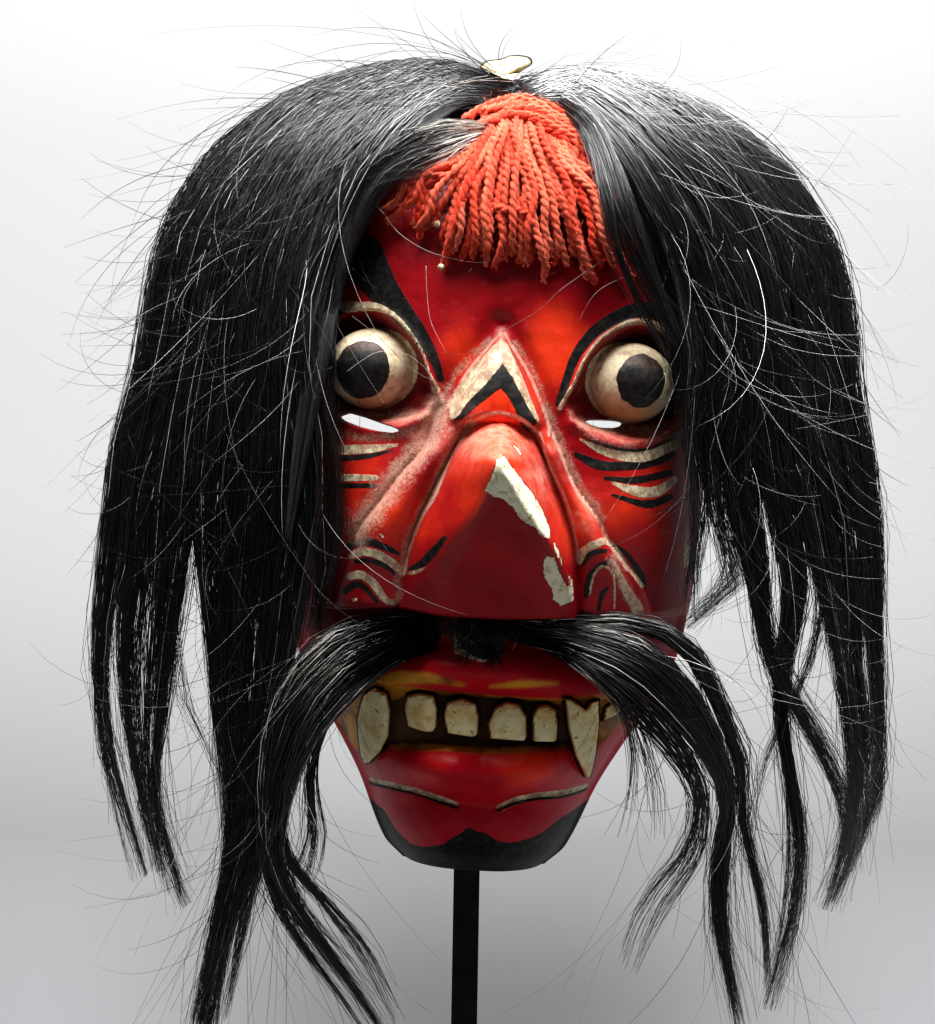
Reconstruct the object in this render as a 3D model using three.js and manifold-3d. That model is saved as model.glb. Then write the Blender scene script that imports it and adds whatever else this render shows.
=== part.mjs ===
// A carved and painted wooden dance mask of an ogre, with horsehair, a horsehair moustache and a tuft of
// red wool, hung on a square steel post that stands on a steel foot.
// Millimetres, +Z up, the face looks along -Y. The origin is the centre of the foot's underside.

import * as THREE from "three";
import { mergeVertices } from "three/addons/utils/BufferGeometryUtils.js";
import Module from "manifold-3d";

const wasm = await Module();
wasm.setup();

// Mask, outside
const MASK_HEIGHT = 234;
const MASK_WIDTH = 126.6;
const MASK_DEPTH = 74; // rim to forehead, without the nose
const MASK_LEAN = THREE.MathUtils.degToRad(2.1); // the mask hangs a little askew on its post
const MASK_SIDESTEP = 2; // chin centre to post centre

// Mask, walls of the hollow
const SIDE_WALL = 6;
const FRONT_WALL = 17;
const CHIN_WALL = 12;
const CROWN_WALL = 9;

// Stand
const POST_SIZE = 8;
const FOOT_WIDTH = 130;
const FOOT_THICKNESS = 8;
const FOOT_CORNER = 4;
const FOOT_BEVEL = 0.8;
const POST_SOCKET = 5; // depth of the square blind hole in the foot
const POST_SETBACK = 30; // foot centre to post centre
const CHIN_HEIGHT = 120; // floor to chin
const ARM_BELOW_CROWN = 22; // top of the post's forward arm, below the crown

// Gaps
const CLEARANCE = 0.4; // between touching pieces
const HAIR_CLEARANCE = 1.2; // between hair and what it lies on
const PARTING = 0.8; // width of the bare parting

// The carving is drawn in units of its own, on a face as tall, wide and deep as these, and grows with
// the mask. Places on it are x from the middle and z from the chin.
const CROWN_Z = 234;
const DRAWN_WIDTH = 126.6;
const DRAWN_DEPTH = 74;
const X_UNIT = MASK_WIDTH / DRAWN_WIDTH;
const Y_UNIT = MASK_DEPTH / DRAWN_DEPTH;
const Z_UNIT = MASK_HEIGHT / CROWN_Z;

const TEMPLE_Z = 165; // the dome starts here
const LEDGE_Z = 78; // underside of nose and cheeks
const LEDGE_STEP = 9; // the lower face lies this far behind the upper
const EYE = { x: 36.8, z: 146, wide: 13, tall: 11.8, bulge: 14.5, sunk: 9 };
const SOCKET = { x: 38.5, z: 147, wide: 18.8, tall: 16.8, depth: 8.5, turn: THREE.MathUtils.degToRad(30) };
const SLIT = { wide: 12.5, tall: 4.4, gap: 0.4 };
const NOSE_TOP_Z = 134.5;
const MOUTH = { half: 41, topZ: 53.5, bottomZ: 38, depth: 5 };
const TEETH_OUT = 6;
const TEETH_ROOT = 14; // length of a tooth, from its front into the jaw

const SECTION_POWER = 2.4; // roundness of the mask's horizontal section
const COLUMNS = 30;
const ROW_STEP = 7;
const HOLLOW_COLUMNS = 18;
const HOLLOW_ROW_STEP = 16;

const { clamp, smoothstep, lerp } = THREE.MathUtils;

// Value at t of a smooth curve through [t, value] stations.
function along(stations, t) {
  const last = stations.length - 1;
  if (t <= stations[0][0]) return stations[0][1];
  if (t >= stations[last][0]) return stations[last][1];
  const i = stations.findIndex((s) => s[0] > t) - 1;
  const slope = (k) => {
    const a = stations[Math.max(k - 1, 0)];
    const b = stations[Math.min(k + 1, last)];
    return (b[1] - a[1]) / (b[0] - a[0]);
  };
  const [t0, v0] = stations[i];
  const [t1, v1] = stations[i + 1];
  const span = t1 - t0;
  const u = (t - t0) / span;
  const u2 = u * u;
  const u3 = u2 * u;
  return (
    v0 * (2 * u3 - 3 * u2 + 1) +
    slope(i) * span * (u3 - 2 * u2 + u) +
    v1 * (3 * u2 - 2 * u3) +
    slope(i + 1) * span * (u3 - u2)
  );
}

// Share of its full size that the dome keeps at height z.
function domeShare(z, power) {
  const u = clamp((z - TEMPLE_Z) / (CROWN_Z - TEMPLE_Z), 0, 1);
  return Math.pow(1 - Math.pow(u, power), 1 / power);
}

// Half width of the nose at its root, rise of its ridge above the face, and sides of its flat front, by z.
const NOSE_ROOTS = [[77, 26], [94, 24.2], [105, 21], [122, 13.4], [130, 8.8], [NOSE_TOP_Z, 2.5]];
const NOSE_RISES = [[77, 2.5], [111, 27], [117, 31], [121, 30.5], [125, 22], [130, 9], [NOSE_TOP_Z, 2]];
const NOSE_FRONT = { left: [[77, -16.5], [94, -11.5], [111, -2.6], [119, -1]], right: [[77, 24.6], [94, 18.4], [111, 6], [119, 1]] };

// Outer side of the fold beside the nose, by z.
const FOLD_SIDES = {
  left: [[77, 44.5], [99, 38.5], [108, 32.5], [116, 27], [124, 21], [137, 17.4]],
  right: [[77, 49], [88, 44], [94, 38.7], [101, 32], [108, 28], [116, 21.8], [126, 17.2], [138, 12]],
};

const HALF_WIDTHS = [
  [0, 22],
  [6, 28],
  [27, 37.5],
  [50, 51],
  [66, 59],
  [84, 62.3],
  [105, 63.3],
  [140, 63.3],
  [TEMPLE_Z, 62.5],
];
const DEPTHS = [
  [0, 40],
  [6, 47],
  [20, 54],
  [50, 62],
  [LEDGE_Z, 68],
  [105, 72.5],
  [140, 74],
  [TEMPLE_Z, 73],
];
const HOLLOW_DEPTHS = [
  [0, 20],
  [20, 28],
  [50, 37],
  [LEDGE_Z, 46],
  [105, 72.5 - FRONT_WALL / Y_UNIT],
  [140, 74 - FRONT_WALL / Y_UNIT],
  [TEMPLE_Z, 73 - FRONT_WALL / Y_UNIT],
];

const halfWidth = (z) => along(HALF_WIDTHS, z) * domeShare(z, 2.5);
const plainDepth = (z) => along(DEPTHS, z) * domeShare(z, 2.1);

// Depth of the plain face, without carving, at x and z.
function faceDepth(x, z) {
  const side = clamp(Math.abs(x) / Math.max(halfWidth(z), 0.01), 0, 1);
  return plainDepth(z) * Math.pow(1 - Math.pow(side, SECTION_POWER), 1 / SECTION_POWER);
}

// A rounded bump: 1 in the middle, 0 at distance 1 and beyond.
const bump = (r) => (Math.abs(r) >= 1 ? 0 : Math.pow(1 - r * r, 1.5));

// Forward carving above the plain face at x and z.
function relief(x, z) {
  const side = Math.abs(x);
  const upper = smoothstep(z, LEDGE_Z - 1, LEDGE_Z - 0.4);
  let out = -LEDGE_STEP * (1 - upper);

  // Cheeks
  out += 3.5 * upper * bump(Math.hypot((side - 41) / 20, (z - 108) / 24));

  // Lips, mouth and chin
  const upperLipZ = 60.5 - 7 * Math.pow(side / 36, 2);
  out += 8 * (1 - upper) * bump((z - upperLipZ) / 8.5) * bump(side / 48);
  const open = bump(side / MOUTH.half);
  const mouthTop = lerp(48, MOUTH.topZ, Math.sqrt(open));
  const mouthBottom = lerp(46, MOUTH.bottomZ, Math.sqrt(open));
  if (side < MOUTH.half && z < mouthTop && z > mouthBottom) out -= MOUTH.depth;
  out += 8 * bump((z - 31) / 9) * bump(side / 37);
  out += 3 * bump(Math.hypot(side / 28, (z - 12) / 12));
  return out;
}

// Depth of the carved face at x and z, with its eyeball.
function carvedDepth(x, z) {
  const r = Math.hypot((Math.abs(x) - EYE.x) / EYE.wide, (z - EYE.z) / EYE.tall);
  const eye = faceDepth(EYE.x, EYE.z) - EYE.sunk + EYE.bulge * Math.sqrt(Math.max(1 - r * r, 0));
  return Math.max(faceDepth(x, z) + relief(x, z), r < 1 ? eye : 0);
}

// A point of the mask, in millimetres, from carving units.
const maskPoint = (x, depth, z) => new THREE.Vector3(x * X_UNIT, -depth * Y_UNIT, z * Z_UNIT);

// A closed solid through rings of points, each a closed loop that runs the same way, with fans at the ends.
function loft(rings) {
  const sides = rings[0].length;
  const points = rings.flat();
  const faces = [];
  for (let i = 0; i + 1 < rings.length; i++) {
    for (let j = 0; j < sides; j++) {
      const a = i * sides + j;
      const b = i * sides + ((j + 1) % sides);
      faces.push(a, b, b + sides, a, b + sides, a + sides);
    }
  }
  for (const end of [0, rings.length - 1]) {
    const middle = points.length;
    const sum = rings[end].reduce((s, p) => s.add(p), new THREE.Vector3());
    points.push(sum.divideScalar(sides));
    for (let j = 0; j < sides; j++) {
      const a = end * sides + j;
      const b = end * sides + ((j + 1) % sides);
      faces.push(...(end ? [a, b, middle] : [b, a, middle]));
    }
  }
  return new THREE.BufferGeometry().setFromPoints(points).setIndex(faces);
}

// A geometry, moved by a matrix, as a solid that faces outward.
function solid(geometry, matrix = new THREE.Matrix4()) {
  const bare = geometry.clone().applyMatrix4(matrix);
  bare.deleteAttribute("normal");
  bare.deleteAttribute("uv");
  const merged = mergeVertices(bare, 1e-4);
  const make = (triVerts) =>
    new wasm.Manifold(
      new wasm.Mesh({ numProp: 3, vertProperties: merged.attributes.position.array, triVerts }),
    );
  const triangles = Uint32Array.from(merged.index.array);
  const made = make(triangles);
  return made.volume() > 0 ? made : make(triangles.reverse());
}

function geometryOf(made) {
  const mesh = made.getMesh();
  const points = new Float32Array(mesh.numVert * 3);
  for (let i = 0; i < mesh.numVert; i++) {
    points.set(mesh.vertProperties.subarray(i * mesh.numProp, i * mesh.numProp + 3), i * 3);
  }
  const geometry = new THREE.BufferGeometry();
  geometry.setAttribute("position", new THREE.BufferAttribute(points, 3));
  geometry.setIndex(new THREE.BufferAttribute(Uint32Array.from(mesh.triVerts), 1));
  geometry.computeVertexNormals();
  return geometry;
}

const union = (solids) => solids.reduce((a, b) => a.add(b));

function named(name, geometry, color, roughness, metalness = 0) {
  const material = new THREE.MeshStandardMaterial({ color, roughness, metalness });
  const mesh = new THREE.Mesh(geometry, material);
  mesh.name = name;
  return mesh;
}

// Points of a quarter-to-quarter section of width 1 and depth 1, closer together in front than at the sides.
function sectionStations(count) {
  const fine = 2000;
  const dense = [];
  for (let i = 0; i <= fine; i++) {
    const a = (i / fine - 0.5) * Math.PI;
    const power = 2 / SECTION_POWER;
    const x = Math.sign(a) * Math.pow(Math.abs(Math.sin(a)), power);
    dense.push([x, Math.pow(Math.max(Math.cos(a), 0), power)]);
  }
  const length = [0];
  for (let i = 1; i <= fine; i++) {
    length.push(length[i - 1] + Math.hypot(dense[i][0] - dense[i - 1][0], dense[i][1] - dense[i - 1][1]));
  }
  return Array.from({ length: count + 1 }, (_, j) => {
    const q = (2 * j) / count - 1;
    const share = 0.5 + 0.5 * q * (0.76 + 0.24 * q * q);
    const i = length.findIndex((s) => s >= share * length[fine] - 1e-9);
    return dense[i];
  });
}

// Heights of the rings, closer together up the dome, with pairs of rows at each crease.
function rowHeights(step, from, to, creases = []) {
  const rows = [...creases];
  for (let z = from; z < TEMPLE_Z; z += step) {
    if (creases.every((c) => Math.abs(c - z) > step * 0.4)) rows.push(z);
  }
  const domeRows = Math.ceil((to - TEMPLE_Z) / (step * 0.8));
  for (let i = 0; i <= domeRows; i++) {
    const a = (i / domeRows) * Math.PI * 0.49;
    rows.push(TEMPLE_Z + (to - TEMPLE_Z) * Math.sin(a));
  }
  return rows.sort((a, b) => a - b);
}

// The carved outside of the mask, closed flat across its back.
function outside() {
  const creases = [LEDGE_Z - 1, LEDGE_Z - 0.4, MOUTH.topZ - 0.3, MOUTH.topZ + 0.3, MOUTH.bottomZ];
  const stations = sectionStations(COLUMNS);
  const rings = rowHeights(ROW_STEP, 0, CROWN_Z, creases).map((z) =>
    stations.map(([across, forward]) => {
      const x = across * halfWidth(z);
      const rim = smoothstep(forward, 0.1, 0.5);
      return maskPoint(x, forward * plainDepth(z) + relief(x, z) * rim, z);
    }),
  );
  return solid(loft(rings));
}

// The room that hair leaves around the mask: its plain outside, swollen by grow, with the hollow filled.
function room(grow) {
  const behind = 6;
  const stations = sectionStations(COLUMNS / 2);
  const swell = 1 + (2 * grow) / CROWN_Z;
  const rings = rowHeights(ROW_STEP * 2, 0, CROWN_Z).map((z) =>
    stations.map(([across, forward], j) => {
      const x = across * halfWidth(z);
      const rise = Math.max(carvedDepth(x, z) - faceDepth(x, z), 0) * smoothstep(forward, 0.1, 0.5);
      const depth = forward * plainDepth(z) + rise + grow * forward;
      const atBack = j === 0 || j === stations.length - 1;
      return maskPoint(x + grow * across, atBack ? -behind : depth, (z - CROWN_Z / 2) * swell + CROWN_Z / 2);
    }),
  );
  return solid(loft(rings));
}

// The hollow that the face fits in. It runs out through the back.
function hollow() {
  const throughBack = 3;
  const low = CHIN_WALL / Z_UNIT;
  const high = CROWN_Z - CROWN_WALL / Z_UNIT;
  const stations = sectionStations(HOLLOW_COLUMNS);
  const rows = rowHeights(HOLLOW_ROW_STEP, low, high);
  const rings = rows.map((z) => {
    const inWidth = halfWidth(z) - SIDE_WALL / X_UNIT;
    const share = domeShare(lerp(low, CROWN_Z, (z - low) / (high - low)), 2.1);
    const inDepth = along(HOLLOW_DEPTHS, z) * share;
    return stations.map(([across, forward], j) => {
      const atRim = j === 0 || j === HOLLOW_COLUMNS;
      return maskPoint(across * Math.max(inWidth, 4), atRim ? -throughBack : forward * inDepth, z);
    });
  });
  return solid(loft(rings));
}

// A prism that runs back from the face, with the outline shape in x and z.
function throughFace(shape, front, back, curveSegments) {
  const geometry = new THREE.ExtrudeGeometry(shape, {
    depth: (back - front) * Y_UNIT,
    bevelEnabled: false,
    curveSegments,
  });
  geometry.rotateX(Math.PI / 2); // outline into XZ, depth towards -Y
  geometry.scale(X_UNIT, 1, Z_UNIT);
  geometry.translate(0, back * Y_UNIT, 0);
  return solid(geometry);
}

// The crescent cut under an eye, that the dancer looks through.
function slit(side) {
  const shape = new THREE.Shape();
  const steps = 8;
  const edge = (drop) =>
    Array.from({ length: steps + 1 }, (_, i) => {
      const u = (2 * i) / steps - 1;
      const under = Math.sqrt(1 - Math.pow((u * SLIT.wide) / (EYE.wide + 1.5), 2));
      return new THREE.Vector2(side * EYE.x + u * SLIT.wide, EYE.z - EYE.tall * under - SLIT.gap - drop * (1 - u ** 4));
    });
  shape.setFromPoints([...edge(0), ...edge(SLIT.tall).slice(1, -1).reverse()]);
  return throughFace(shape, -EYE.sunk - 90, 0, steps);
}

// An egg shape in the face, turned towards the side.
function egg(side, { x, z, wide, tall }, depth, out, turn = 0) {
  const ball = new THREE.SphereGeometry(1, 16, 8);
  ball.rotateX(Math.PI / 2);
  ball.scale(wide * X_UNIT, out * Y_UNIT, tall * Z_UNIT);
  ball.rotateZ(side * turn);
  const at = maskPoint(side * x, depth, z);
  return solid(ball.translate(at.x, at.y, at.z));
}

const eyeball = (side) => egg(side, EYE, faceDepth(EYE.x, EYE.z) - EYE.sunk, EYE.bulge);

function socket(side) {
  const proud = 4;
  const middle = faceDepth(SOCKET.x, SOCKET.z) + proud;
  return egg(side, SOCKET, middle, SOCKET.depth + proud, SOCKET.turn);
}

// The raised edge over a socket.
function browEdge(side) {
  const turns = [0.24, 0.4, 0.55, 0.7, 0.85, 1, 1.12];
  const points = turns.map((turn) => {
    const x = SOCKET.x + (SOCKET.wide + 1.2) * Math.cos(turn * Math.PI);
    const z = SOCKET.z + (SOCKET.tall + 1.4) * Math.sin(turn * Math.PI);
    return maskPoint(side * x, faceDepth(x, z) - 0.6, z);
  });
  const path = points.map((at) => ({ at, out: new THREE.Vector3(0, -1, 0) }));
  return lockSolid(path, 2, 2, 0, (t) => 0.3 + 0.7 * Math.sin(Math.PI * t));
}

// A ridge on the face, from one outline of [x, height above the face] at each height.
function ridge(heights, outlineAt) {
  const rings = heights.map((z) => outlineAt(z).map(([x, h]) => maskPoint(x, faceDepth(x, z) + h, z)));
  return solid(loft(rings));
}

// The nose: a long pyramid with a blunt tip, and a flat front that faces down.
function nose() {
  const rootBack = -8;
  return ridge([LEDGE_Z - 0.4, 94, 105, 111, 116, 120, 123, 127, 131, NOSE_TOP_Z], (z) => {
    const root = along(NOSE_ROOTS, z);
    const rise = along(NOSE_RISES, z);
    const left = along(NOSE_FRONT.left, z);
    const right = along(NOSE_FRONT.right, z);
    return [[-root, rootBack], [-root, 0], [left, rise], [right, rise], [root, 0], [root, rootBack]];
  });
}

// The fold that runs down beside the nose to the ledge.
function fold(side) {
  const rootBack = -6;
  return ridge([LEDGE_Z - 0.4, 88, 98, 108, 117, 125, 131, 136], (z) => {
    const inner = along(NOSE_ROOTS, z) + 0.6;
    const outer = along(FOLD_SIDES[side < 0 ? "left" : "right"], z);
    const high = 4.6 * (1 - smoothstep(z, 120, 139));
    const shape = [[inner, rootBack], [inner, 0], [lerp(inner, outer, 0.3), high], [lerp(inner, outer, 0.62), high]];
    return [...shape, [outer, 0], [outer, rootBack]].map(([x, h]) => [side * x, h]);
  });
}

// The raised wedge between the brows.
function browWedge() {
  const rootBack = -7;
  const halves = [[130.5, 12.5], [134, 13.3], [146, 6.6], [156.5, 0.8]];
  const rises = [[130.5, 3.5], [134, 7], [146, 6], [156.5, 1.2]];
  return ridge([130.5, 134, 140, 146, 156.5], (z) => {
    const half = along(halves, z);
    return [[-half, rootBack], [-half, 0], [0, along(rises, z)], [half, 0], [half, rootBack]];
  });
}

// Upper teeth: middle x, half width, top z, bottom z, and how far the bottom narrows to a fang's point.
const TEETH = [
  { x: -31, half: 5, top: 54, bottom: 30.5, point: 0.75, lean: -1 },
  { x: -18.3, half: 4.7, top: 51.5, bottom: 42.5, point: 0.05, lean: 0 },
  { x: -6.2, half: 5.1, top: 51.5, bottom: 42, point: 0.05, lean: 0 },
  { x: 6.4, half: 5.4, top: 50.5, bottom: 41.5, point: 0.05, lean: 0 },
  { x: 17.6, half: 4, top: 50.5, bottom: 42, point: 0.05, lean: 0 },
  { x: 28.6, half: 4.6, top: 54, bottom: 31, point: 0.7, lean: 1.6 },
  { x: 38.5, half: 3.2, top: 52.5, bottom: 47, point: 0.1, lean: 0.5 },
];

function tooth({ x, half, top, bottom, point, lean }) {
  const tip = half * (1 - point);
  const shape = new THREE.Shape();
  shape.moveTo(x - half, top - half * 0.5);
  shape.quadraticCurveTo(x, top + half * 0.5, x + half, top - half * 0.5);
  shape.lineTo(x + lean + tip, bottom + tip * 0.4);
  shape.quadraticCurveTo(x + lean, bottom - tip * 0.1, x + lean - tip, bottom + tip * 0.4);
  shape.closePath();
  const z = (top + bottom) / 2;
  const front = faceDepth(x, z) - LEDGE_STEP + (point > 0.5 ? TEETH_OUT + 2 : TEETH_OUT - 3);
  return throughFace(shape, -front, -front + TEETH_ROOT, 3);
}

function mask() {
  const bothSides = (make) => [make(-1), make(1)];
  const face = union([outside(), ...bothSides(fold), ...bothSides(browEdge)]).subtract(union(bothSides(socket)));
  const added = [face, ...bothSides(eyeball), nose(), browWedge(), ...TEETH.map(tooth)];
  return union(added).subtract(union([hollow(), ...bothSides(slit)]));
}

// Height of the dome over the middle of the mask at a depth.
function domeTop(depth) {
  const u = clamp(depth / plainDepth(TEMPLE_Z), 0, 1);
  return TEMPLE_Z + (CROWN_Z - TEMPLE_Z) * Math.pow(1 - Math.pow(u, 2.1), 1 / 2.1);
}

// Keeps a point that lies over the face in front of the carving.
function drape(x, depth, z, lift) {
  const reach = 5;
  if (Math.abs(x) > halfWidth(z) || z < 0 || z > CROWN_Z) return depth;
  const around = [-reach, 0, reach].flatMap((dx) => [-reach, 0, reach].map((dz) => carvedDepth(x + dx, z + dz)));
  return Math.max(depth, Math.max(...around) + lift);
}

const LOCK_SIDES = 6;

// A lock of hair: flattened rings along its path, full in the middle and drawn out to a tip.
function lockSolid(path, half, thick, grow, fullness) {
  const last = path.length - 1;
  const rings = path.map(({ at, out }, i) => {
    const before = path[Math.max(i - 1, 0)].at;
    const after = path[Math.min(i + 1, last)].at;
    const tangent = after.clone().sub(before).normalize();
    const across = new THREE.Vector3().crossVectors(tangent, out).normalize();
    const outward = new THREE.Vector3().crossVectors(across, tangent).normalize();
    const size = fullness(i / last);
    return Array.from({ length: LOCK_SIDES }, (_, j) => {
      const a = (j / LOCK_SIDES) * 2 * Math.PI;
      return at
        .clone()
        .addScaledVector(across, Math.cos(a) * (half * size + grow))
        .addScaledVector(outward, Math.sin(a) * (thick * size + grow));
    });
  });
  return solid(loft(rings));
}

// Locks of the head hair, from the face outward. Each starts at the parting at depth root, rounds a
// shoulder at x and falls to its tip. round shapes the shoulder, and sway bows the fall sideways.
const LOCKS = {
  left: [
    { root: 40, x: 52, shoulder: 152, round: 1.8, depth: 60, tip: [54, 57, 52], sway: 2, half: 10 },
    { root: 33, x: 66, shoulder: 150, round: 2, depth: 57, tip: [68, 50, 16], sway: 4, half: 11 },
    { root: 26, x: 77, shoulder: 148, round: 2.1, depth: 49, tip: [84, 47, -66], sway: 14, half: 11 },
    { root: 19, x: 88, shoulder: 145, round: 2.2, depth: 37, tip: [82, 34, -8], sway: -4, half: 11 },
    { root: 12, x: 99, shoulder: 142, round: 2.4, depth: 24, tip: [93, 22, -18], sway: -14, half: 10.5 },
    { root: 5, x: 107, shoulder: 140, round: 2.5, depth: 12, tip: [108, 12, 14], sway: -5, half: 8.5 },
  ],
  right: [
    { root: 40, x: 65, shoulder: 146, round: 1.45, depth: 54, tip: [66, 49, 76], sway: -2, half: 9 },
    { root: 33, x: 73, shoulder: 145, round: 1.7, depth: 48, tip: [76, 43, 44], sway: -5, half: 10.5 },
    { root: 26, x: 81, shoulder: 144, round: 1.9, depth: 41, tip: [91, 38, -26], sway: 4, half: 10.5 },
    { root: 19, x: 90, shoulder: 143, round: 2.2, depth: 31, tip: [107, 28, 8], sway: 4, half: 10.5 },
    { root: 12, x: 98, shoulder: 141, round: 2.4, depth: 20, tip: [113, 19, -6], sway: -6, half: 10.5 },
    { root: 5, x: 106, shoulder: 140, round: 2.4, depth: 11, tip: [118, 11, 30], sway: -5, half: 8.5 },
  ],
};
const LOCK_THICK = 5;
const SHOULDER_STEPS = 5;
const FALL_STEPS = 6;
const ROOT_LIFT = 8; // middle of a lock's root above the dome

function lockPath(side, lock) {
  const rootZ = domeTop(lock.root) + ROOT_LIFT;
  const path = [];
  for (let i = 0; i <= SHOULDER_STEPS; i++) {
    const a = ((i + 0.35) / (SHOULDER_STEPS + 0.35)) * 0.5 * Math.PI;
    const x = lock.x * Math.pow(Math.sin(a), 2 / lock.round);
    const z = lock.shoulder + (rootZ - lock.shoulder) * Math.pow(Math.max(Math.cos(a), 0), 2 / lock.round);
    const depth = drape(x, lerp(lock.root, lock.depth, Math.sin(a)), z, LOCK_THICK);
    const out = new THREE.Vector3(side * 0.65 * Math.sin(a), -0.3 - 0.4 * Math.sin(a), Math.cos(a));
    path.push({ at: maskPoint(side * x, depth, z), out });
  }
  const [tipX, tipDepth, tipZ] = lock.tip;
  for (let i = 1; i <= FALL_STEPS; i++) {
    const u = i / FALL_STEPS;
    const z = lerp(lock.shoulder, tipZ, u);
    const x = lerp(lock.x, tipX, u * u) - lock.sway * Math.sin(Math.PI * u);
    const depth = drape(x, lerp(lock.depth, tipDepth, u), z, LOCK_THICK);
    path.push({ at: maskPoint(side * x, depth, z), out: new THREE.Vector3(side * 0.65, -0.7, 0) });
  }
  return path;
}

// Share of its full size that a lock has at share t of its length.
const lockFullness = (t) => along([[0, 0.62], [0.3, 0.95], [0.6, 1], [0.85, 0.5], [1, 0.1]], t);

// The strip of hide that the hair grows on, tacked along the crown beside the parting.
const HIDE = { from: 44, to: 3, half: 7, thick: 2.2 };
const HIDE_STEPS = 6;

function hideStrip(side) {
  const path = Array.from({ length: HIDE_STEPS + 1 }, (_, i) => {
    const depth = lerp(HIDE.from, HIDE.to, i / HIDE_STEPS);
    const z = domeTop(depth) + HIDE.thick;
    return { at: maskPoint(side * HIDE.half, depth, z), out: new THREE.Vector3(0, 0, 1) };
  });
  return lockSolid(path, HIDE.half, HIDE.thick, 0, () => 1);
}

// Moustache locks: middle points in carving units [x, depth, z], from the upper lip to the tip.
const MOUSTACHE = {
  left: [[-4, 66, 71], [-20, 71, 71.5], [-36, 72, 64], [-51, 71, 48], [-59, 69, 26], [-59, 66, 6], [-42, 62, -18], [-20, 60, -46], [-14, 60, -60]],
  right: [[5, 66, 71], [22, 70, 70], [42, 70, 66], [60, 68, 58], [72, 63, 40], [77, 60, 22], [75, 58, 2], [74, 57, -14], [80, 57, -38], [84, 57, -62]],
};
const MOUSTACHE_HALF = 8;
const MOUSTACHE_THICK = 4;
const MOUSTACHE_STEPS = 14;

function moustache(side, grow = 0) {
  const route = MOUSTACHE[side].map(([x, depth, z]) => maskPoint(x, depth, z));
  const curve = new THREE.CatmullRomCurve3(route, false, "centripetal");
  const path = curve.getSpacedPoints(MOUSTACHE_STEPS).map((at) => ({ at, out: new THREE.Vector3(0, -1, 0.2) }));
  const fullness = (t) => along([[0, 0.45], [0.2, 0.9], [0.45, 1], [0.7, 0.55], [1, 0.1]], t);
  return lockSolid(path, MOUSTACHE_HALF, MOUSTACHE_THICK, grow, fullness);
}

// The wool tuft: strands that fan down over the forehead from a knot, and a loop of them above it.
const TUFT = { knotX: 0, knotZ: 213, fingers: 7, spread: 32, reach: 42, half: 6.8, thick: 4.5 };

function tuft(grow = 0) {
  const strand = (points, half, fullness, steps) => {
    const curve = new THREE.CatmullRomCurve3(points.map(([x, z, lift]) => maskPoint(x, drape(x, 0, z, lift), z)));
    const path = curve.getSpacedPoints(steps).map((at) => ({ at, out: new THREE.Vector3(0, -1, 0.3) }));
    return lockSolid(path, half, TUFT.thick, grow, fullness);
  };
  const taper = (t) => along([[0, 0.7], [0.4, 1], [0.85, 0.95], [1, 0.45]], t);
  const fingers = Array.from({ length: TUFT.fingers }, (_, i) => {
    const u = (2 * i) / (TUFT.fingers - 1) - 1;
    const tipX = TUFT.knotX + u * TUFT.spread * 0.92;
    const tipZ = TUFT.knotZ - TUFT.reach * Math.cos(u * 0.95) + (u < 0 ? -u * 2 : 0);
    const midX = TUFT.knotX + u * TUFT.spread * 0.62;
    const midZ = lerp(TUFT.knotZ, tipZ, 0.45);
    return strand([[TUFT.knotX + u * 4, TUFT.knotZ, 5.5], [midX, midZ, 6.5], [tipX, tipZ, 5]], TUFT.half, taper, 3);
  });
  const arch = [[-10, 217, 3.6], [6, 221, 5], [20, 213, 5.5], [26, 198, 4.5], [24, 188, 4]];
  const loop = strand(arch, TUFT.half + 1, taper, 7);
  return union([...fingers, loop]);
}

function hair(sideName) {
  const side = sideName === "left" ? -1 : 1;
  const locks = LOCKS[sideName].map((lock) =>
    lockSolid(lockPath(side, lock), lock.half, LOCK_THICK, 0, lockFullness),
  );
  const reach = 2 * (MASK_HEIGHT + CHIN_HEIGHT);
  const halfSpace = new THREE.BoxGeometry(reach, reach, reach).translate((side * (reach + PARTING)) / 2, 0, 0);
  return union([hideStrip(side), ...locks])
    .intersect(solid(halfSpace))
    .subtract(room(HAIR_CLEARANCE))
    .subtract(tuft(HAIR_CLEARANCE))
    .subtract(moustache(sideName, HAIR_CLEARANCE));
}

// The largest body of a solid, without crumbs that a cut leaves.
function mainBody(made) {
  return made.decompose().reduce((a, b) => (a.volume() > b.volume() ? a : b));
}

// The square post: up behind the chin, then forward under the inside of the crown.
function post(rimY) {
  const armTop = CHIN_HEIGHT + MASK_HEIGHT - ARM_BELOW_CROWN;
  const armZ = (MASK_HEIGHT - ARM_BELOW_CROWN) / Z_UNIT;
  const high = CROWN_Z - CROWN_WALL / Z_UNIT;
  const low = CHIN_WALL / Z_UNIT;
  const share = domeShare(lerp(low, CROWN_Z, (armZ - low) / (high - low)), 2.1);
  const inside = along(HOLLOW_DEPTHS, armZ) * share * Y_UNIT;
  const armFront = rimY - inside + POST_SIZE / 2;
  const back = POST_SETBACK + POST_SIZE / 2;
  const front = back - POST_SIZE;
  const foot = FOOT_THICKNESS - POST_SOCKET + CLEARANCE;
  const shape = new THREE.Shape();
  shape.moveTo(back, foot);
  shape.lineTo(back, armTop - POST_SIZE);
  shape.absarc(back - POST_SIZE, armTop - POST_SIZE, POST_SIZE, 0, Math.PI / 2, false);
  shape.lineTo(armFront, armTop);
  shape.lineTo(armFront, armTop - POST_SIZE);
  shape.lineTo(front, armTop - POST_SIZE);
  shape.lineTo(front, foot);
  shape.closePath();
  const geometry = new THREE.ExtrudeGeometry(shape, { depth: POST_SIZE, bevelEnabled: false, curveSegments: 6 });
  geometry.rotateX(Math.PI / 2);
  geometry.rotateZ(Math.PI / 2);
  geometry.translate(-POST_SIZE / 2, 0, 0);
  return geometry;
}

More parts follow.
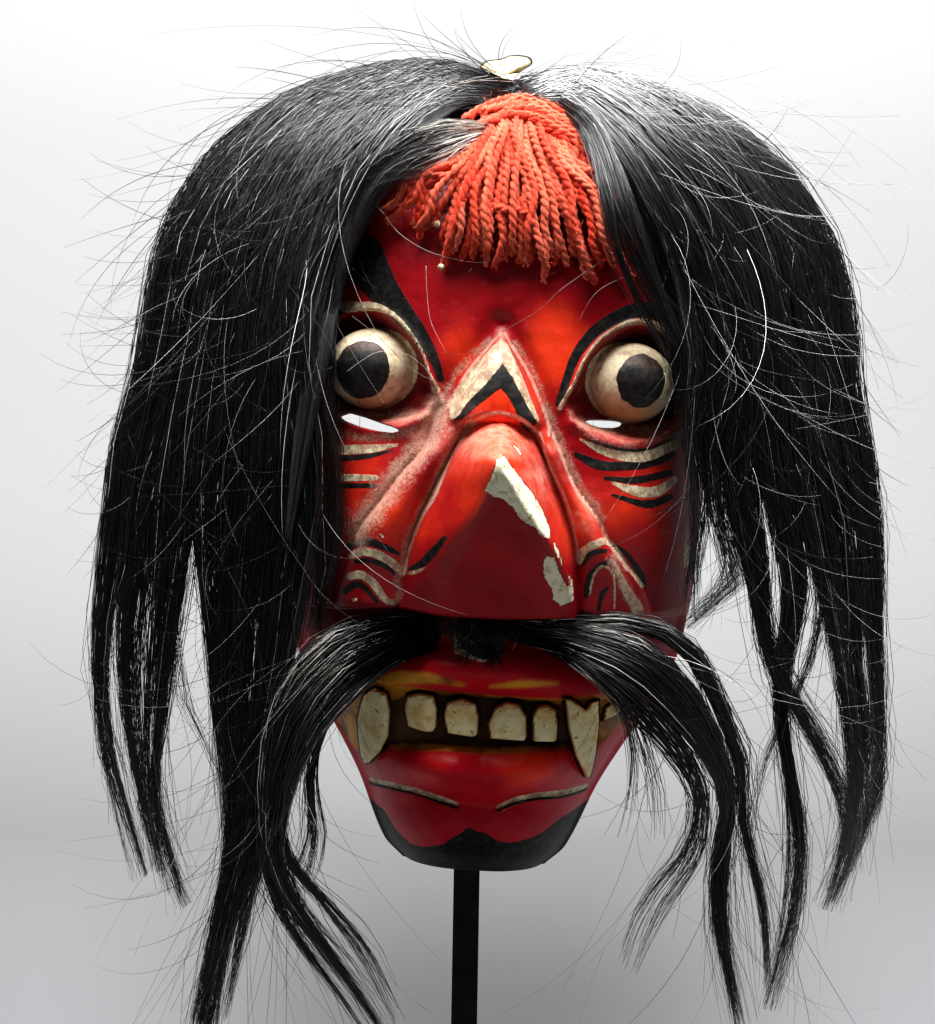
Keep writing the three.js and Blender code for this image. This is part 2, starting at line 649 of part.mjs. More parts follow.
// The foot: a bevelled plate with a blind square hole for the post.
function foot() {
  const half = FOOT_WIDTH / 2 - FOOT_BEVEL;
  const straight = half - FOOT_CORNER;
  const shape = new THREE.Shape();
  const corners = [[1, 1], [-1, 1], [-1, -1], [1, -1]];
  corners.forEach(([x, y], i) => {
    const start = (i * Math.PI) / 2;
    shape.absarc(x * straight, y * straight, FOOT_CORNER, start, start + Math.PI / 2, false);
  });
  const plate = new THREE.ExtrudeGeometry(shape, {
    depth: FOOT_THICKNESS - 2 * FOOT_BEVEL,
    bevelThickness: FOOT_BEVEL,
    bevelSize: FOOT_BEVEL,
    bevelSegments: 1,
    curveSegments: 4,
  }).translate(0, 0, FOOT_BEVEL);
  const holeSize = POST_SIZE + 2 * CLEARANCE;
  const hole = new THREE.BoxGeometry(holeSize, holeSize, 2 * POST_SOCKET).translate(0, POST_SETBACK, FOOT_THICKNESS);
  return solid(plate).subtract(solid(hole));
}

const rimY = POST_SETBACK - POST_SIZE / 2 - CLEARANCE;

const object = new THREE.Group();
object.add(named("stand_foot", geometryOf(foot()), "#1b1b1c", 0.45, 0.8));
object.add(named("stand_post", post(rimY), "#1d1b18", 0.5, 0.8));

const worn = new THREE.Group();
worn.position.set(MASK_SIDESTEP, rimY, CHIN_HEIGHT);
worn.rotation.y = MASK_LEAN;
worn.add(named("mask", geometryOf(mainBody(mask())), "#9c0f16", 0.4));
worn.add(named("hair_left", geometryOf(mainBody(hair("left"))), "#17181a", 0.5));
worn.add(named("hair_right", geometryOf(mainBody(hair("right"))), "#17181a", 0.5));
const clearOfFace = (made) => mainBody(made.subtract(room(HAIR_CLEARANCE)));
worn.add(named("moustache_left", geometryOf(clearOfFace(moustache("left"))), "#17181a", 0.5));
worn.add(named("moustache_right", geometryOf(clearOfFace(moustache("right"))), "#17181a", 0.5));
worn.add(named("wool_tuft", geometryOf(clearOfFace(tuft())), "#e2371f", 0.9));
object.add(worn);

export default object;
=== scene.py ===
# Looks of a carved and painted ogre dance mask with horsehair and red wool, on its steel stand.
# The scene is in metres, +Z up, and the face looks along -Y. Carving and hair are worked out in
# millimetres in the mask's own frame: x from its middle, depth forward of its rim, z above its chin.

import math

import bpy
import numpy as np
from mathutils import Matrix, Vector


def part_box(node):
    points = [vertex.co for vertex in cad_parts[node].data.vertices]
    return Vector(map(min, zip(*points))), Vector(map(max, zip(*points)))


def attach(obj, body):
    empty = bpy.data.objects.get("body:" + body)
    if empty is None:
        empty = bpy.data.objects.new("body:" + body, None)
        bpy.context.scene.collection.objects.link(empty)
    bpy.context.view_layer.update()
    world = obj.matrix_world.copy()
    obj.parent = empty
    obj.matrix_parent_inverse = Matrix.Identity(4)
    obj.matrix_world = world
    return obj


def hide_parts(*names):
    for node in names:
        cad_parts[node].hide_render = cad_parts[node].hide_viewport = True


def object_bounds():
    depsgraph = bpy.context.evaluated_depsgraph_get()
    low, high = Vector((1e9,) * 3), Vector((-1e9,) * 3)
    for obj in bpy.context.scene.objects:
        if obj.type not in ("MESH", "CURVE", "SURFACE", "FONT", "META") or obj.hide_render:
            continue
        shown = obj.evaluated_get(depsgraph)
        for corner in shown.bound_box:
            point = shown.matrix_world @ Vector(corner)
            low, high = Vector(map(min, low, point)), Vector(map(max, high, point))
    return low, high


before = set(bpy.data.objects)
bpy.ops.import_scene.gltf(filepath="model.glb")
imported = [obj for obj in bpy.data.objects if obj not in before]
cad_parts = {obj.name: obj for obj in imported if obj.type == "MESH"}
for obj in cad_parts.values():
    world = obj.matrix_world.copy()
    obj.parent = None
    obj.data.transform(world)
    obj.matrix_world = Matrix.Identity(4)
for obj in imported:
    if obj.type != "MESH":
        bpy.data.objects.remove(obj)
cad_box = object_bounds()

MM = 0.001
SEED = 41
HAIR_RADIUS = 0.15

# The photo, and the camera that took it, in metres
PHOTO_WIDTH = 935
PHOTO_HEIGHT = 1024
LENS = 90.9
SENSOR = 36.0
FOCAL_PIXELS = LENS / SENSOR * PHOTO_HEIGHT
CAMERA_TO_RIM = 0.8
CAMERA_X = -0.0017
CAMERA_Z = 0.2266
CAMERA_ROLL = math.radians(1.0)

# Mask, outside
MASK_LEAN = math.radians(2.1)
MASK_SIDESTEP = 2.0
CHIN_HEIGHT = 120.0
CROWN_Z = 234.0
TEMPLE_Z = 165.0
LEDGE_Z = 78.0
LEDGE_STEP = 9.0
SECTION_POWER = 2.4
DOME_WIDTH_POWER = 2.5
DOME_DEPTH_POWER = 2.1

# Mask, hollow
SIDE_WALL = 6.0
CHIN_WALL = 12.0
CROWN_WALL = 9.0

EYE_X = 36.8
EYE_Z = 146.0
EYE_WIDE = 13.0
EYE_TALL = 11.8
EYE_BULGE = 14.5
EYE_SUNK = 9.0

HALF_WIDTHS = [(0, 22), (6, 28), (27, 37.5), (50, 51), (66, 59), (84, 62.3), (105, 63.3), (140, 63.3),
               (165, 62.5)]
DEPTHS = [(0, 40), (6, 47), (20, 54), (50, 62), (78, 68), (105, 72.5), (140, 74), (165, 73)]
HOLLOW_DEPTHS = [(0, 20), (20, 28), (50, 37), (78, 46), (105, 55.5), (140, 57), (165, 56)]
NOSE_TOP_Z = 134.5
NOSE_ROOTS = [(77, 26), (94, 24.2), (105, 21), (122, 13.4), (130, 8.8), (134.5, 2.5)]
NOSE_RISES = [(77, 2.5), (111, 27), (117, 31), (121, 30.5), (125, 22), (130, 9), (134.5, 2)]
NOSE_FRONT_LEFT = [(77, -16.5), (94, -11.5), (111, -2.6), (119, -1)]
NOSE_FRONT_RIGHT = [(77, 24.6), (94, 18.4), (111, 6), (119, 1)]
FOLD_LEFT = [(77, 44.5), (99, 38.5), (108, 32.5), (116, 27), (124, 21), (137, 17.4)]
FOLD_RIGHT = [(77, 49), (88, 44), (94, 38.7), (101, 32), (108, 28), (116, 21.8), (126, 17.2), (138, 12)]
LEDGE_LINE = [(-60, 76.6), (-43, 76.8), (-25, 78.6), (-12, 77.0), (8, 77.2), (27, 78.6), (37, 78.4),
              (60, 79.6)]


# Curves and noise


def along(stations, t):
    """Value at t of a smooth curve through (t, value) stations."""
    ts = np.array([s[0] for s in stations], float)
    vs = np.array([s[1] for s in stations], float)
    slopes = np.gradient(vs, ts)
    slopes[1:-1] = (vs[2:] - vs[:-2]) / (ts[2:] - ts[:-2])
    t = np.clip(t, ts[0], ts[-1])
    i = np.clip(np.searchsorted(ts, t, side="right") - 1, 0, len(ts) - 2)
    span = ts[i + 1] - ts[i]
    u = (t - ts[i]) / span
    start = vs[i] * (2 * u**3 - 3 * u**2 + 1) + slopes[i] * span * (u**3 - 2 * u**2 + u)
    return start + vs[i + 1] * (3 * u**2 - 2 * u**3) + slopes[i + 1] * span * (u**3 - u**2)


def smoothstep(x, low, high):
    u = np.clip((x - low) / (high - low), 0, 1)
    return u * u * (3 - 2 * u)


def lerp(a, b, t):
    return a + (b - a) * t


def bump(r):
    """A rounded bump: 1 in the middle, 0 at distance 1 and beyond."""
    return np.maximum(1 - np.square(r), 0) ** 1.5


def bell(d, width):
    return np.exp(-np.square(d / width))


def soft_min(a, b, reach):
    h = np.maximum(reach - np.abs(a - b), 0) / reach
    return np.minimum(a, b) - h * h * reach / 4


def soft_max(a, b, reach):
    return -soft_min(-a, -b, reach)


def grain(u, v, size, seed):
    """Smooth value noise from -1 to 1 over two coordinates, with cells of the given size."""
    cells = 64
    table = np.random.default_rng(seed).uniform(-1, 1, (cells, cells))
    a, b = u / size, v / size
    i, j = np.floor(a).astype(int), np.floor(b).astype(int)
    s, t = a - i, b - j
    s, t = s * s * (3 - 2 * s), t * t * (3 - 2 * t)
    i0, j0, i1, j1 = i % cells, j % cells, (i + 1) % cells, (j + 1) % cells
    low = table[i0, j0] * (1 - s) + table[i1, j0] * s
    high = table[i0, j1] * (1 - s) + table[i1, j1] * s
    return low * (1 - t) + high * t


def smooth_line(points, steps=5, closed=False):
    """Points of a Catmull-Rom curve through a few chosen points."""
    p = np.array(points, float)
    ends = (p[-1:], p[:2]) if closed else (2 * p[:1] - p[1:2], 2 * p[-1:] - p[-2:-1])
    q = np.concatenate([ends[0], p, ends[1]])
    spans = len(q) - 3
    u = np.arange(spans * steps + (0 if closed else 1)) / steps
    i = np.minimum(u.astype(int), spans - 1)
    t = (u - i)[:, None]
    a, b, c, d = q[i], q[i + 1], q[i + 2], q[i + 3]
    cubic = (2 * a - 5 * b + 4 * c - d) * t**2 + (3 * b - a - 3 * c + d) * t**3
    return 0.5 * (2 * b + (c - a) * t + cubic)


def line_distance(x, z, points, widths=0.0):
    """Distance from each place to a line, less the line's own half width there."""
    p = np.array(points, float)
    w = np.array(widths, float)
    if w.ndim == 0:
        w = np.broadcast_to(w, len(p))
    if len(w) != len(p):
        w = np.interp(np.linspace(0, 1, len(p)), np.linspace(0, 1, len(w)), w)
    best = np.full(np.shape(x), 1e3)
    for a, b, wa, wb in zip(p[:-1], p[1:], w[:-1], w[1:]):
        reach = 8
        near = (x > min(a[0], b[0]) - reach) & (x < max(a[0], b[0]) + reach)
        near &= (z > min(a[1], b[1]) - reach) & (z < max(a[1], b[1]) + reach)
        px, pz = x[near] - a[0], z[near] - a[1]
        ex, ez = b - a
        t = np.clip((px * ex + pz * ez) / (ex * ex + ez * ez + 1e-9), 0, 1)
        d = np.hypot(px - t * ex, pz - t * ez) - lerp(wa, wb, t)
        best[near] = np.minimum(best[near], d)
    return best


def area_distance(x, z, points):
    """Signed distance from each place to a closed outline, negative inside."""
    p = np.array(points, float)
    loop = np.concatenate([p, p[:1]])
    d = line_distance(x, z, loop)
    inside = np.zeros(np.shape(x), bool)
    for a, b in zip(loop[:-1], loop[1:]):
        crosses = (a[1] > z) != (b[1] > z)
        at = a[0] + (z - a[1]) * (b[0] - a[0]) / (b[1] - a[1] + 1e-12)
        inside ^= crosses & (x < at)
    return np.where(inside, -d, d)


# Meshes, and the mask's frame in the world


post_low, post_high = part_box("stand_post")
mask_low, mask_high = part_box("mask")
post_x = (post_low[0] + post_high[0]) / 2
MASK_PLACE = (
    Matrix.Translation((post_x + MASK_SIDESTEP * MM, mask_high[1], CHIN_HEIGHT * MM))
    @ Matrix.Rotation(MASK_LEAN, 4, "Y")
    @ Matrix.Diagonal((MM, -MM, MM, 1))
)


def placed(points):
    """World places of points given as x, depth and z in the mask's frame."""
    m = np.array(MASK_PLACE)
    return np.asarray(points) @ m[:3, :3].T + m[:3, 3]


def unplaced(points):
    m = np.array(MASK_PLACE.inverted())
    return np.asarray(points) @ m[:3, :3].T + m[:3, 3]


def mesh_object(name, points, faces, materials=(), smooth=True):
    """A mesh object from world points and faces that all have the same number of corners."""
    mesh = bpy.data.meshes.new(name)
    faces = np.asarray(faces, np.int32)
    corners = faces.shape[1]
    mesh.vertices.add(len(points))
    mesh.vertices.foreach_set("co", np.asarray(points, np.float32).ravel())
    mesh.loops.add(faces.size)
    mesh.loops.foreach_set("vertex_index", faces.ravel())
    mesh.polygons.add(len(faces))
    mesh.polygons.foreach_set("loop_start", np.arange(len(faces), dtype=np.int32) * corners)
    mesh.polygons.foreach_set("use_smooth", np.full(len(faces), smooth))
    mesh.update(calc_edges=True)
    mesh.validate()
    obj = bpy.data.objects.new(name, mesh)
    bpy.context.collection.objects.link(obj)
    for material in materials:
        mesh.materials.append(material)
    return obj


def set_field(obj, name, values):
    field = obj.data.attributes.new(name, "FLOAT", "POINT")
    field.data.foreach_set("value", np.asarray(values, np.float32))


def vertices_of(obj):
    out = np.empty(len(obj.data.vertices) * 3, np.float32)
    obj.data.vertices.foreach_get("co", out)
    return out.reshape(-1, 3).astype(float)


def loft_faces(rings, sides, closed_ends=True):
    """Triangles of a loft of rings with a middle point after the rings at each end."""
    i, j = np.meshgrid(np.arange(rings - 1), np.arange(sides), indexing="ij")
    a = (i * sides + j).ravel()
    b = (i * sides + (j + 1) % sides).ravel()
    quads = [np.stack([a, b, b + sides], 1), np.stack([a, b + sides, a + sides], 1)]
    if closed_ends:
        j = np.arange(sides)
        k = (j + 1) % sides
        first, last = rings * sides, rings * sides + 1
        top = (rings - 1) * sides
        quads.append(np.stack([k, j, np.full(sides, first)], 1))
        quads.append(np.stack([top + j, top + k, np.full(sides, last)], 1))
    return np.concatenate(quads)


def lofted(name, rings, materials=(), smooth=True):
    """A closed loft through rings of places in the mask's frame, facing outward."""
    rings = np.asarray(rings)
    count, sides = rings.shape[:2]
    ends = np.stack([rings[0].mean(0), rings[-1].mean(0)])
    points = placed(np.concatenate([rings.reshape(-1, 3), ends]))
    faces = loft_faces(count, sides)
    a, b, c = points[faces[:, 0]], points[faces[:, 1]], points[faces[:, 2]]
    if np.einsum("ij,ij->i", a, np.cross(b, c)).sum() < 0:
        faces = faces[:, ::-1]
    return mesh_object(name, points, faces, materials, smooth)


def boolean(target, tool, operation):
    modifier = target.modifiers.new("cut", "BOOLEAN")
    modifier.operation = operation
    modifier.object = tool
    modifier.solver = "MANIFOLD"
    bpy.context.view_layer.objects.active = target
    with bpy.context.temp_override(object=target, active_object=target):
        bpy.ops.object.modifier_apply(modifier=modifier.name)
    bpy.data.objects.remove(tool, do_unlink=True)


# Shader nodes


class Shader:
    """One material, with short calls for the nodes that these materials share."""

    def __init__(self, name):
        self.material = bpy.data.materials.new(name)
        self.material.use_nodes = True
        self.tree = self.material.node_tree
        self.surface = self.tree.nodes["Principled BSDF"]
        self.coordinates = self.tree.nodes.new("ShaderNodeTexCoord").outputs["Object"]

    def put(self, socket, value):
        if isinstance(value, bpy.types.NodeSocket):
            self.tree.links.new(value, socket)
        elif hasattr(value, "__len__") and len(value) == 3 and socket.type == "RGBA":
            socket.default_value = (*value, 1)
        else:
            socket.default_value = value

    def set(self, **values):
        for key, value in values.items():
            self.put(self.surface.inputs[key.replace("_", " ")], value)

    def field(self, name):
        node = self.tree.nodes.new("ShaderNodeAttribute")
        node.attribute_name = name
        return node.outputs["Fac"]

    def noise(self, scale, detail=3.0, roughness=0.5, stretch=None, vector=None):
        """Noise from 0 to 1. The scale counts cells in a metre."""
        node = self.tree.nodes.new("ShaderNodeTexNoise")
        node.inputs["Scale"].default_value = scale
        node.inputs["Detail"].default_value = detail
        node.inputs["Roughness"].default_value = roughness
        source = vector or self.coordinates
        if stretch:
            mapping = self.tree.nodes.new("ShaderNodeMapping")
            mapping.inputs["Scale"].default_value = stretch
            self.tree.links.new(source, mapping.inputs["Vector"])
            source = mapping.outputs["Vector"]
        self.tree.links.new(source, node.inputs["Vector"])
        return node.outputs["Fac"]

    def math(self, operation, *values, clamp=False):
        node = self.tree.nodes.new("ShaderNodeMath")
        node.operation = operation
        node.use_clamp = clamp
        for socket, value in zip(node.inputs, values):
            self.put(socket, value)
        return node.outputs[0]

    def times(self, *values, clamp=False):
        return self.math("MULTIPLY", *values, clamp=clamp)

    def plus(self, *values, clamp=False):
        return self.math("ADD", *values, clamp=clamp)

    def ramp(self, value, low, high, out_low=0.0, out_high=1.0):
        node = self.tree.nodes.new("ShaderNodeMapRange")
        node.interpolation_type = "SMOOTHSTEP"
        for key, v in zip(("Value", "From Min", "From Max", "To Min", "To Max"),
                          (value, low, high, out_low, out_high)):
            self.put(node.inputs[key], v)
        return node.outputs["Result"]

    def mix(self, amount, first, second):
        node = self.tree.nodes.new("ShaderNodeMix")
        node.data_type = "RGBA"
        sockets = [s for s in node.inputs if s.enabled or s.type == "RGBA"]
        self.put(node.inputs["Factor"], amount)
        colours = [s for s in sockets if s.type == "RGBA"]
        self.put(colours[0], first)
        self.put(colours[1], second)
        return next(s for s in node.outputs if s.type == "RGBA")

    def combine(self, x, y, z):
        node = self.tree.nodes.new("ShaderNodeCombineXYZ")
        for socket, value in zip(node.inputs, (x, y, z)):
            self.put(socket, value)
        return node.outputs[0]

    def bump(self, height, distance, strength=1.0, under=None):
        node = self.tree.nodes.new("ShaderNodeBump")
        node.inputs["Strength"].default_value = strength
        node.inputs["Distance"].default_value = distance
        self.tree.links.new(height, node.inputs["Height"])
        if under:
            self.tree.links.new(under, node.inputs["Normal"])
        return node.outputs["Normal"]


# The face, before and after carving


def dome_share(z, power):
    u = np.clip((z - TEMPLE_Z) / (CROWN_Z - TEMPLE_Z), 0, 1)
    return np.power(np.maximum(1 - np.power(u, power), 0), 1 / power)


def half_width(z):
    return along(HALF_WIDTHS, z) * dome_share(z, DOME_WIDTH_POWER)


def plain_depth(z):
    return along(DEPTHS, z) * dome_share(z, DOME_DEPTH_POWER)


def face_depth(x, z):
    side = np.clip(np.abs(x) / np.maximum(half_width(z), 0.01), 0, 1)
    return plain_depth(z) * np.power(np.maximum(1 - side**SECTION_POWER, 0), 1 / SECTION_POWER)


SOCKET = [(18, 138.5), (20.4, 144), (23.2, 150.8), (27.4, 156.2), (31.8, 160), (37, 162.3), (43.5, 162),
          (49.5, 158.4), (54, 152), (56, 145), (53.5, 139), (47, 134), (39, 131.2), (30, 131),
          (22.5, 133.4)]
BROW_EDGE = [(16.8, 137), (20.2, 143.8), (23, 151), (27, 156.9), (31.6, 160.7), (37, 163.1),
             (43.5, 162.8), (50, 159.2)]

# Teeth: outlines, and how far each stands out
TEETH = [
    ([(-35.8, 48), (-34.8, 51.5), (-31.8, 53.8), (-28.2, 52.6), (-26.8, 47.5), (-27.0, 40), (-29.2, 35),
      (-32.6, 30.6), (-34.4, 29.8), (-35.4, 32), (-36.2, 37), (-36.6, 43.5)], 8.0),
    ([(-22.8, 48.5), (-22.2, 52.2), (-18.6, 53.5), (-14.4, 52.9), (-13.2, 49.4), (-13.2, 43.8),
      (-14.2, 42.2), (-16.4, 42), (-21.6, 43.2)], 4.0),
    ([(-11.3, 47.5), (-10.6, 51.2), (-6.2, 52.8), (-2.2, 51.4), (-1.0, 47.6), (-1.1, 42.2), (-2.6, 41.4),
      (-9.9, 42)], 4.0),
    ([(1.6, 45.7), (3.2, 50.2), (6.6, 52.4), (10.2, 51.9), (12.7, 48.4), (13.1, 42.2), (12.4, 41),
      (2.6, 41.2)], 4.0),
    ([(14.3, 48.4), (15.6, 51.2), (18, 52.1), (21.2, 50.6), (22.0, 46), (22.0, 41.4), (20.8, 40.9),
      (15, 40.9)], 4.0),
    ([(23.4, 54.6), (26.3, 53.4), (29.8, 50.6), (31, 53.0), (33.4, 53.6), (34.2, 46), (34.0, 37),
      (33.2, 29.8), (31.4, 30), (27.5, 37.4), (24.9, 45.6)], 8.0),
    ([(35.7, 51.2), (38, 52.6), (41.2, 54), (41.0, 50), (38.4, 48.4), (35.7, 47.4)], 3.4),
]
LIP_TOP_EDGE = [(-46, 50), (-36, 55.4), (-24, 55.6), (-10, 54.8), (5, 54.2), (18, 54.2), (28, 55),
                (36, 55.6), (46, 56)]
LIP_LOW_EDGE = [(-46, 44), (-37, 33), (-26, 35.6), (-12, 36.8), (3, 36.8), (17, 38.2), (25, 38.6),
                (36, 40), (46, 52)]
LIP_LINE_LEFT = [(-32.3, 24.4), (-26, 24.6), (-18.7, 24.0), (-11, 22.4), (-6, 21.2)]
LIP_LINE_RIGHT = [(5.6, 20.8), (11, 23.3), (18, 24.8), (24, 25.0), (32.6, 26.2)]


def nose_rise(x, z):
    """Rise of the nose above the face."""
    root = along(NOSE_ROOTS, z)
    rise = along(NOSE_RISES, z)
    left = along(NOSE_FRONT_LEFT, z)
    right = along(NOSE_FRONT_RIGHT, z)
    left_wall = rise * (x + root) / (left + root)
    right_wall = rise * (root - x) / (root - right)
    blunt = np.clip(rise * 0.22, 0.5, 3.4)
    top = soft_min(left_wall, rise, blunt * 1.4)
    top = soft_min(top, right_wall, blunt * 0.7)
    belly = 0.9 * np.sin(math.pi * np.clip((x + root) / (left + root), 0, 1)) * smoothstep(rise, 2, 12)
    top = top + belly
    return np.where((z > LEDGE_Z - 1.5) & (z < NOSE_TOP_Z), np.maximum(top, 0), 0)


def fold_rise(x, z, side):
    """Rise of the fold between the nose and the cheek, with the cut grooves at both its sides."""
    root = along(NOSE_ROOTS, z)
    outer = along(FOLD_LEFT if side < 0 else FOLD_RIGHT, z)
    d = side * x
    share = np.clip((d - root) / np.maximum(outer - root, 1), 0, 1)
    shape = np.power(np.sin(math.pi * np.power(share, 0.85)), 0.7)
    fade = 1 - smoothstep(z, 122, 139)
    high = 4.6 * fade * shape * (d > root) * (d < outer)
    grooves = 0.4 * bell(d - root, 1.0) + 0.6 * bell(d - outer, 1.1)
    return high - grooves * (d > 0) * (1 - smoothstep(z, 130, 140))


def wedge_rise(x, z):
    """Rise of the wedge between the brows."""
    half = along([(129, 12.2), (133, 13.6), (146, 6.9), (157.5, 0.6)], z)
    rise = along([(129, 3), (134, 6.4), (146, 5.6), (157.5, 0.8)], z)
    x = x + 0.9
    share = np.clip(np.abs(x) / half, 0, 1)
    plate = np.minimum(rise * 0.75, rise * 2.6 * (1 - share))
    ridge = rise * 0.4 * (1 - share)
    inside = (z > 129.5) & (z < 157.5)
    base = smoothstep(z, 129.6, 132.4)
    return np.where(inside & (share < 1), (plate + ridge) * base, 0)


def carved(x, z, ledge_row):
    """Depth of the carved face. ledge_row is z with the ledge's wavy line straightened."""
    side = np.abs(x)
    upper = smoothstep(ledge_row, LEDGE_Z - 1.2, LEDGE_Z - 0.5)
    base = face_depth(x, z)
    out = -LEDGE_STEP * (1 - upper) - 0.8 * bell(ledge_row - LEDGE_Z + 0.4, 1.1) * upper
    cheek = bump(np.hypot((side - 43) / 22, (z - 107) / 26))
    out += 3.5 * upper * cheek
    out += upper * (fold_rise(x, z, -1) + fold_rise(x, z, 1))

    # Valleys beside the wedge
    valley = line_distance(x, z, smooth_line([(-2, 160), (-12, 146), (-17.5, 136), (-19.5, 127)]))
    out -= 1.5 * bell(valley, 3.2)
    valley = line_distance(x, z, smooth_line([(0.5, 160), (9.5, 146), (14, 135), (15.5, 128)]))
    out -= 1.5 * bell(valley, 2.6)
    out += wedge_rise(x, z)

    # Sockets, with the raised edge of the brow
    for s in (-1, 1):
        outline = smooth_line([(s * a, b) for a, b in SOCKET], closed=True)
        d = area_distance(x, z, outline)
        out -= 8.6 * np.power(smoothstep(-d, -0.1, 5.5), 0.6)
        edge = line_distance(x, z, smooth_line([(s * a, b) for a, b in BROW_EDGE]))
        out += 0.7 * bell(edge, 0.8)
        lid = line_distance(x, z, smooth_line([(s * 21, 133), (s * 30, 128.4), (s * 40, 128.6),
                                               (s * 52, 134)]))
        out += 1.1 * bell(lid, 1.8)
        under = line_distance(x, z, smooth_line([(s * 23, 135), (s * 28, 132.6), (s * 37, 131.6),
                                                 (s * 46, 133), (s * 51, 137)]))
        out -= 3.5 * bell(under, 1.7)

    # Lips, mouth and chin
    lower = 1 - upper
    lip_z = 61 - 7 * np.square(side / 36)
    out += 8.6 * lower * bump((z - lip_z) / 8.8) * bump(side / 49)
    gap = np.minimum(along(LIP_TOP_EDGE, x) - z, z - along(LIP_LOW_EDGE, x))
    out -= 5.5 * smoothstep(gap, -0.4, 2.4) * bump(side / 47)
    lobes = 1 + 0.16 * bump((side - 15) / 14) - 0.22 * bell(x, 4.5)
    under = np.where(x < 0, along(sorted(LIP_LINE_LEFT), x), along(LIP_LINE_RIGHT, x))
    lip_high = along(LIP_LOW_EDGE, x)
    middle = lerp(under, lip_high, 0.62)
    reach = np.maximum(lip_high - under, 6) * 0.62
    out += 8.2 * lobes * bump((z - middle) / reach) * bump(side / 38)
    out += 3.4 * bump(np.hypot(side / 30, (z - 12) / 12))
    for line in (LIP_LINE_LEFT, LIP_LINE_RIGHT):
        out -= 0.9 * bell(line_distance(x, z, smooth_line(line)), 1.0)
    for outline, proud in TEETH:
        d = area_distance(x, z, outline)
        floor = -LEDGE_STEP + proud + 0.5 * smoothstep(-d, 0.5, 2)
        out = np.where(d < 1.2, soft_max(out, lerp(out - 2, floor, smoothstep(-d, -0.55, 0.45)), 0.6), out)
        out -= 0.35 * bell(d - 0.9, 0.5)

    # The knife's facets and small dents
    out += 0.22 * grain(x, z, 9, 1) + 0.10 * grain(x, z, 3.1, 2) * (1 + 0.8 * lower)
    depth = base + out
    nose = np.where(upper > 0, nose_rise(x, z) * upper, 0)
    return np.where(nose > 0, soft_max(depth, base + nose + 0.12 * grain(x, z, 4, 3), 0.8), depth)


# The mask's mesh


NOSE_COLUMNS = 38
SIDE_COLUMNS = 78


def section_table():
    """The half section from the middle to the rim: across, forward, at equal steps of length."""
    a = np.linspace(0, math.pi / 2, 4000)
    across = np.sin(a) ** (2 / SECTION_POWER)
    forward = np.maximum(np.cos(a), 0) ** (2 / SECTION_POWER)
    length = np.concatenate([[0], np.cumsum(np.hypot(np.diff(across), np.diff(forward)))])
    return length / length[-1], across, forward


def half_columns(z):
    """Across and forward shares of each column of a half row, for each row."""
    length, across, forward = section_table()
    root = along([(0, 10), (30, 18), (77, 26), (94, 24.2), (105, 21), (122, 13.4), (131, 10), (150, 12),
                  (200, 20), (234, 1)], z)
    half = half_width(z)
    edge = np.clip(root / half, 0.05, 0.6)
    inner = np.linspace(0, 1, NOSE_COLUMNS + 1)[None, :] * edge[:, None]
    inner_length = np.interp(inner, across, length)
    t = np.linspace(0, 1, SIDE_COLUMNS + 1)[1:]
    spread = 0.62 * t + 0.38 * t**3
    start = inner_length[:, -1:]
    outer_length = start + (1 - start) * spread[None, :]
    lengths = np.concatenate([inner_length, outer_length], 1)
    return np.interp(lengths, length, across), np.interp(lengths, length, forward)


def row_heights():
    """Heights of the rows, closer where the carving is fine."""
    stretches = [(0, 27, 0.8), (27, 57, 0.55), (57, 76, 0.8), (76, 76.6, 0.3), (76.6, 77.7, 0.12),
                 (77.7, 79, 0.3), (79, 137, 0.66), (137, 172, 0.72), (172, 205, 1.3)]
    rows = np.concatenate([np.arange(a, b - 1e-6, step) for a, b, step in stretches])
    dome = TEMPLE_Z + (CROWN_Z - TEMPLE_Z) * np.sin(np.linspace(math.asin(40 / 69), math.pi * 0.495, 36))
    return np.concatenate([rows, dome])


def carved_body():
    rows = row_heights()
    across, forward = half_columns(rows)
    z = rows[:, None]
    half = half_width(rows)[:, None]
    right = across * half
    x = np.concatenate([-right[:, :0:-1], right], 1)
    ahead = np.concatenate([forward[:, :0:-1], forward], 1)
    ledge_row = np.broadcast_to(z, x.shape)
    shift = (along(LEDGE_LINE, x) - 77.6) * bell(ledge_row - 77.2, 6.0)
    z = ledge_row + shift
    fade = smoothstep(ahead, 0.1, 0.5)
    plain = ahead * plain_depth(z)
    depth = plain + (carved(x, z, ledge_row) - face_depth(x, z)) * fade
    depth[:, 0] = depth[:, -1] = 0
    return lofted("ogre_mask", np.stack([x, depth, z], 2))


def hollow_tool():
    """The hollow, with the gouge's long shallow flutes."""
    through = 3.0
    low = CHIN_WALL
    high = CROWN_Z - CROWN_WALL
    rows = np.concatenate([np.arange(low, TEMPLE_Z, 2.6),
                           lerp(TEMPLE_Z, high, np.sin(np.linspace(0, 1.54, 22)))])
    a = np.linspace(-1, 1, 81)[None, :] * math.pi / 2
    across = np.sign(a) * np.abs(np.sin(a)) ** (2 / SECTION_POWER)
    forward = np.maximum(np.cos(a), 0) ** (2 / SECTION_POWER)
    z = rows[:, None]
    share = dome_share(lerp(low, CROWN_Z, (z - low) / (high - low)), DOME_DEPTH_POWER)
    width = np.maximum(half_width(z) - SIDE_WALL, 4)
    depth = along(HOLLOW_DEPTHS, z) * share
    around = a * 40
    flutes = 0.45 * np.abs(np.sin(around / 3.4 + 1.2 * grain(around, z + 0 * a, 22, 5)))
    flutes = flutes + 0.35 * grain(around + 0 * z, z + 0 * a, 7, 6)
    ahead = forward * depth - (0.9 - flutes) * smoothstep(forward, 0.15, 0.6)
    ahead[:, 0] = ahead[:, -1] = -through
    x = across * width - np.sign(across) * (0.7 - flutes) * smoothstep(np.abs(across), 0.5, 0.9)
    return lofted("hollow", np.stack([x, ahead, z + 0 * a], 2))


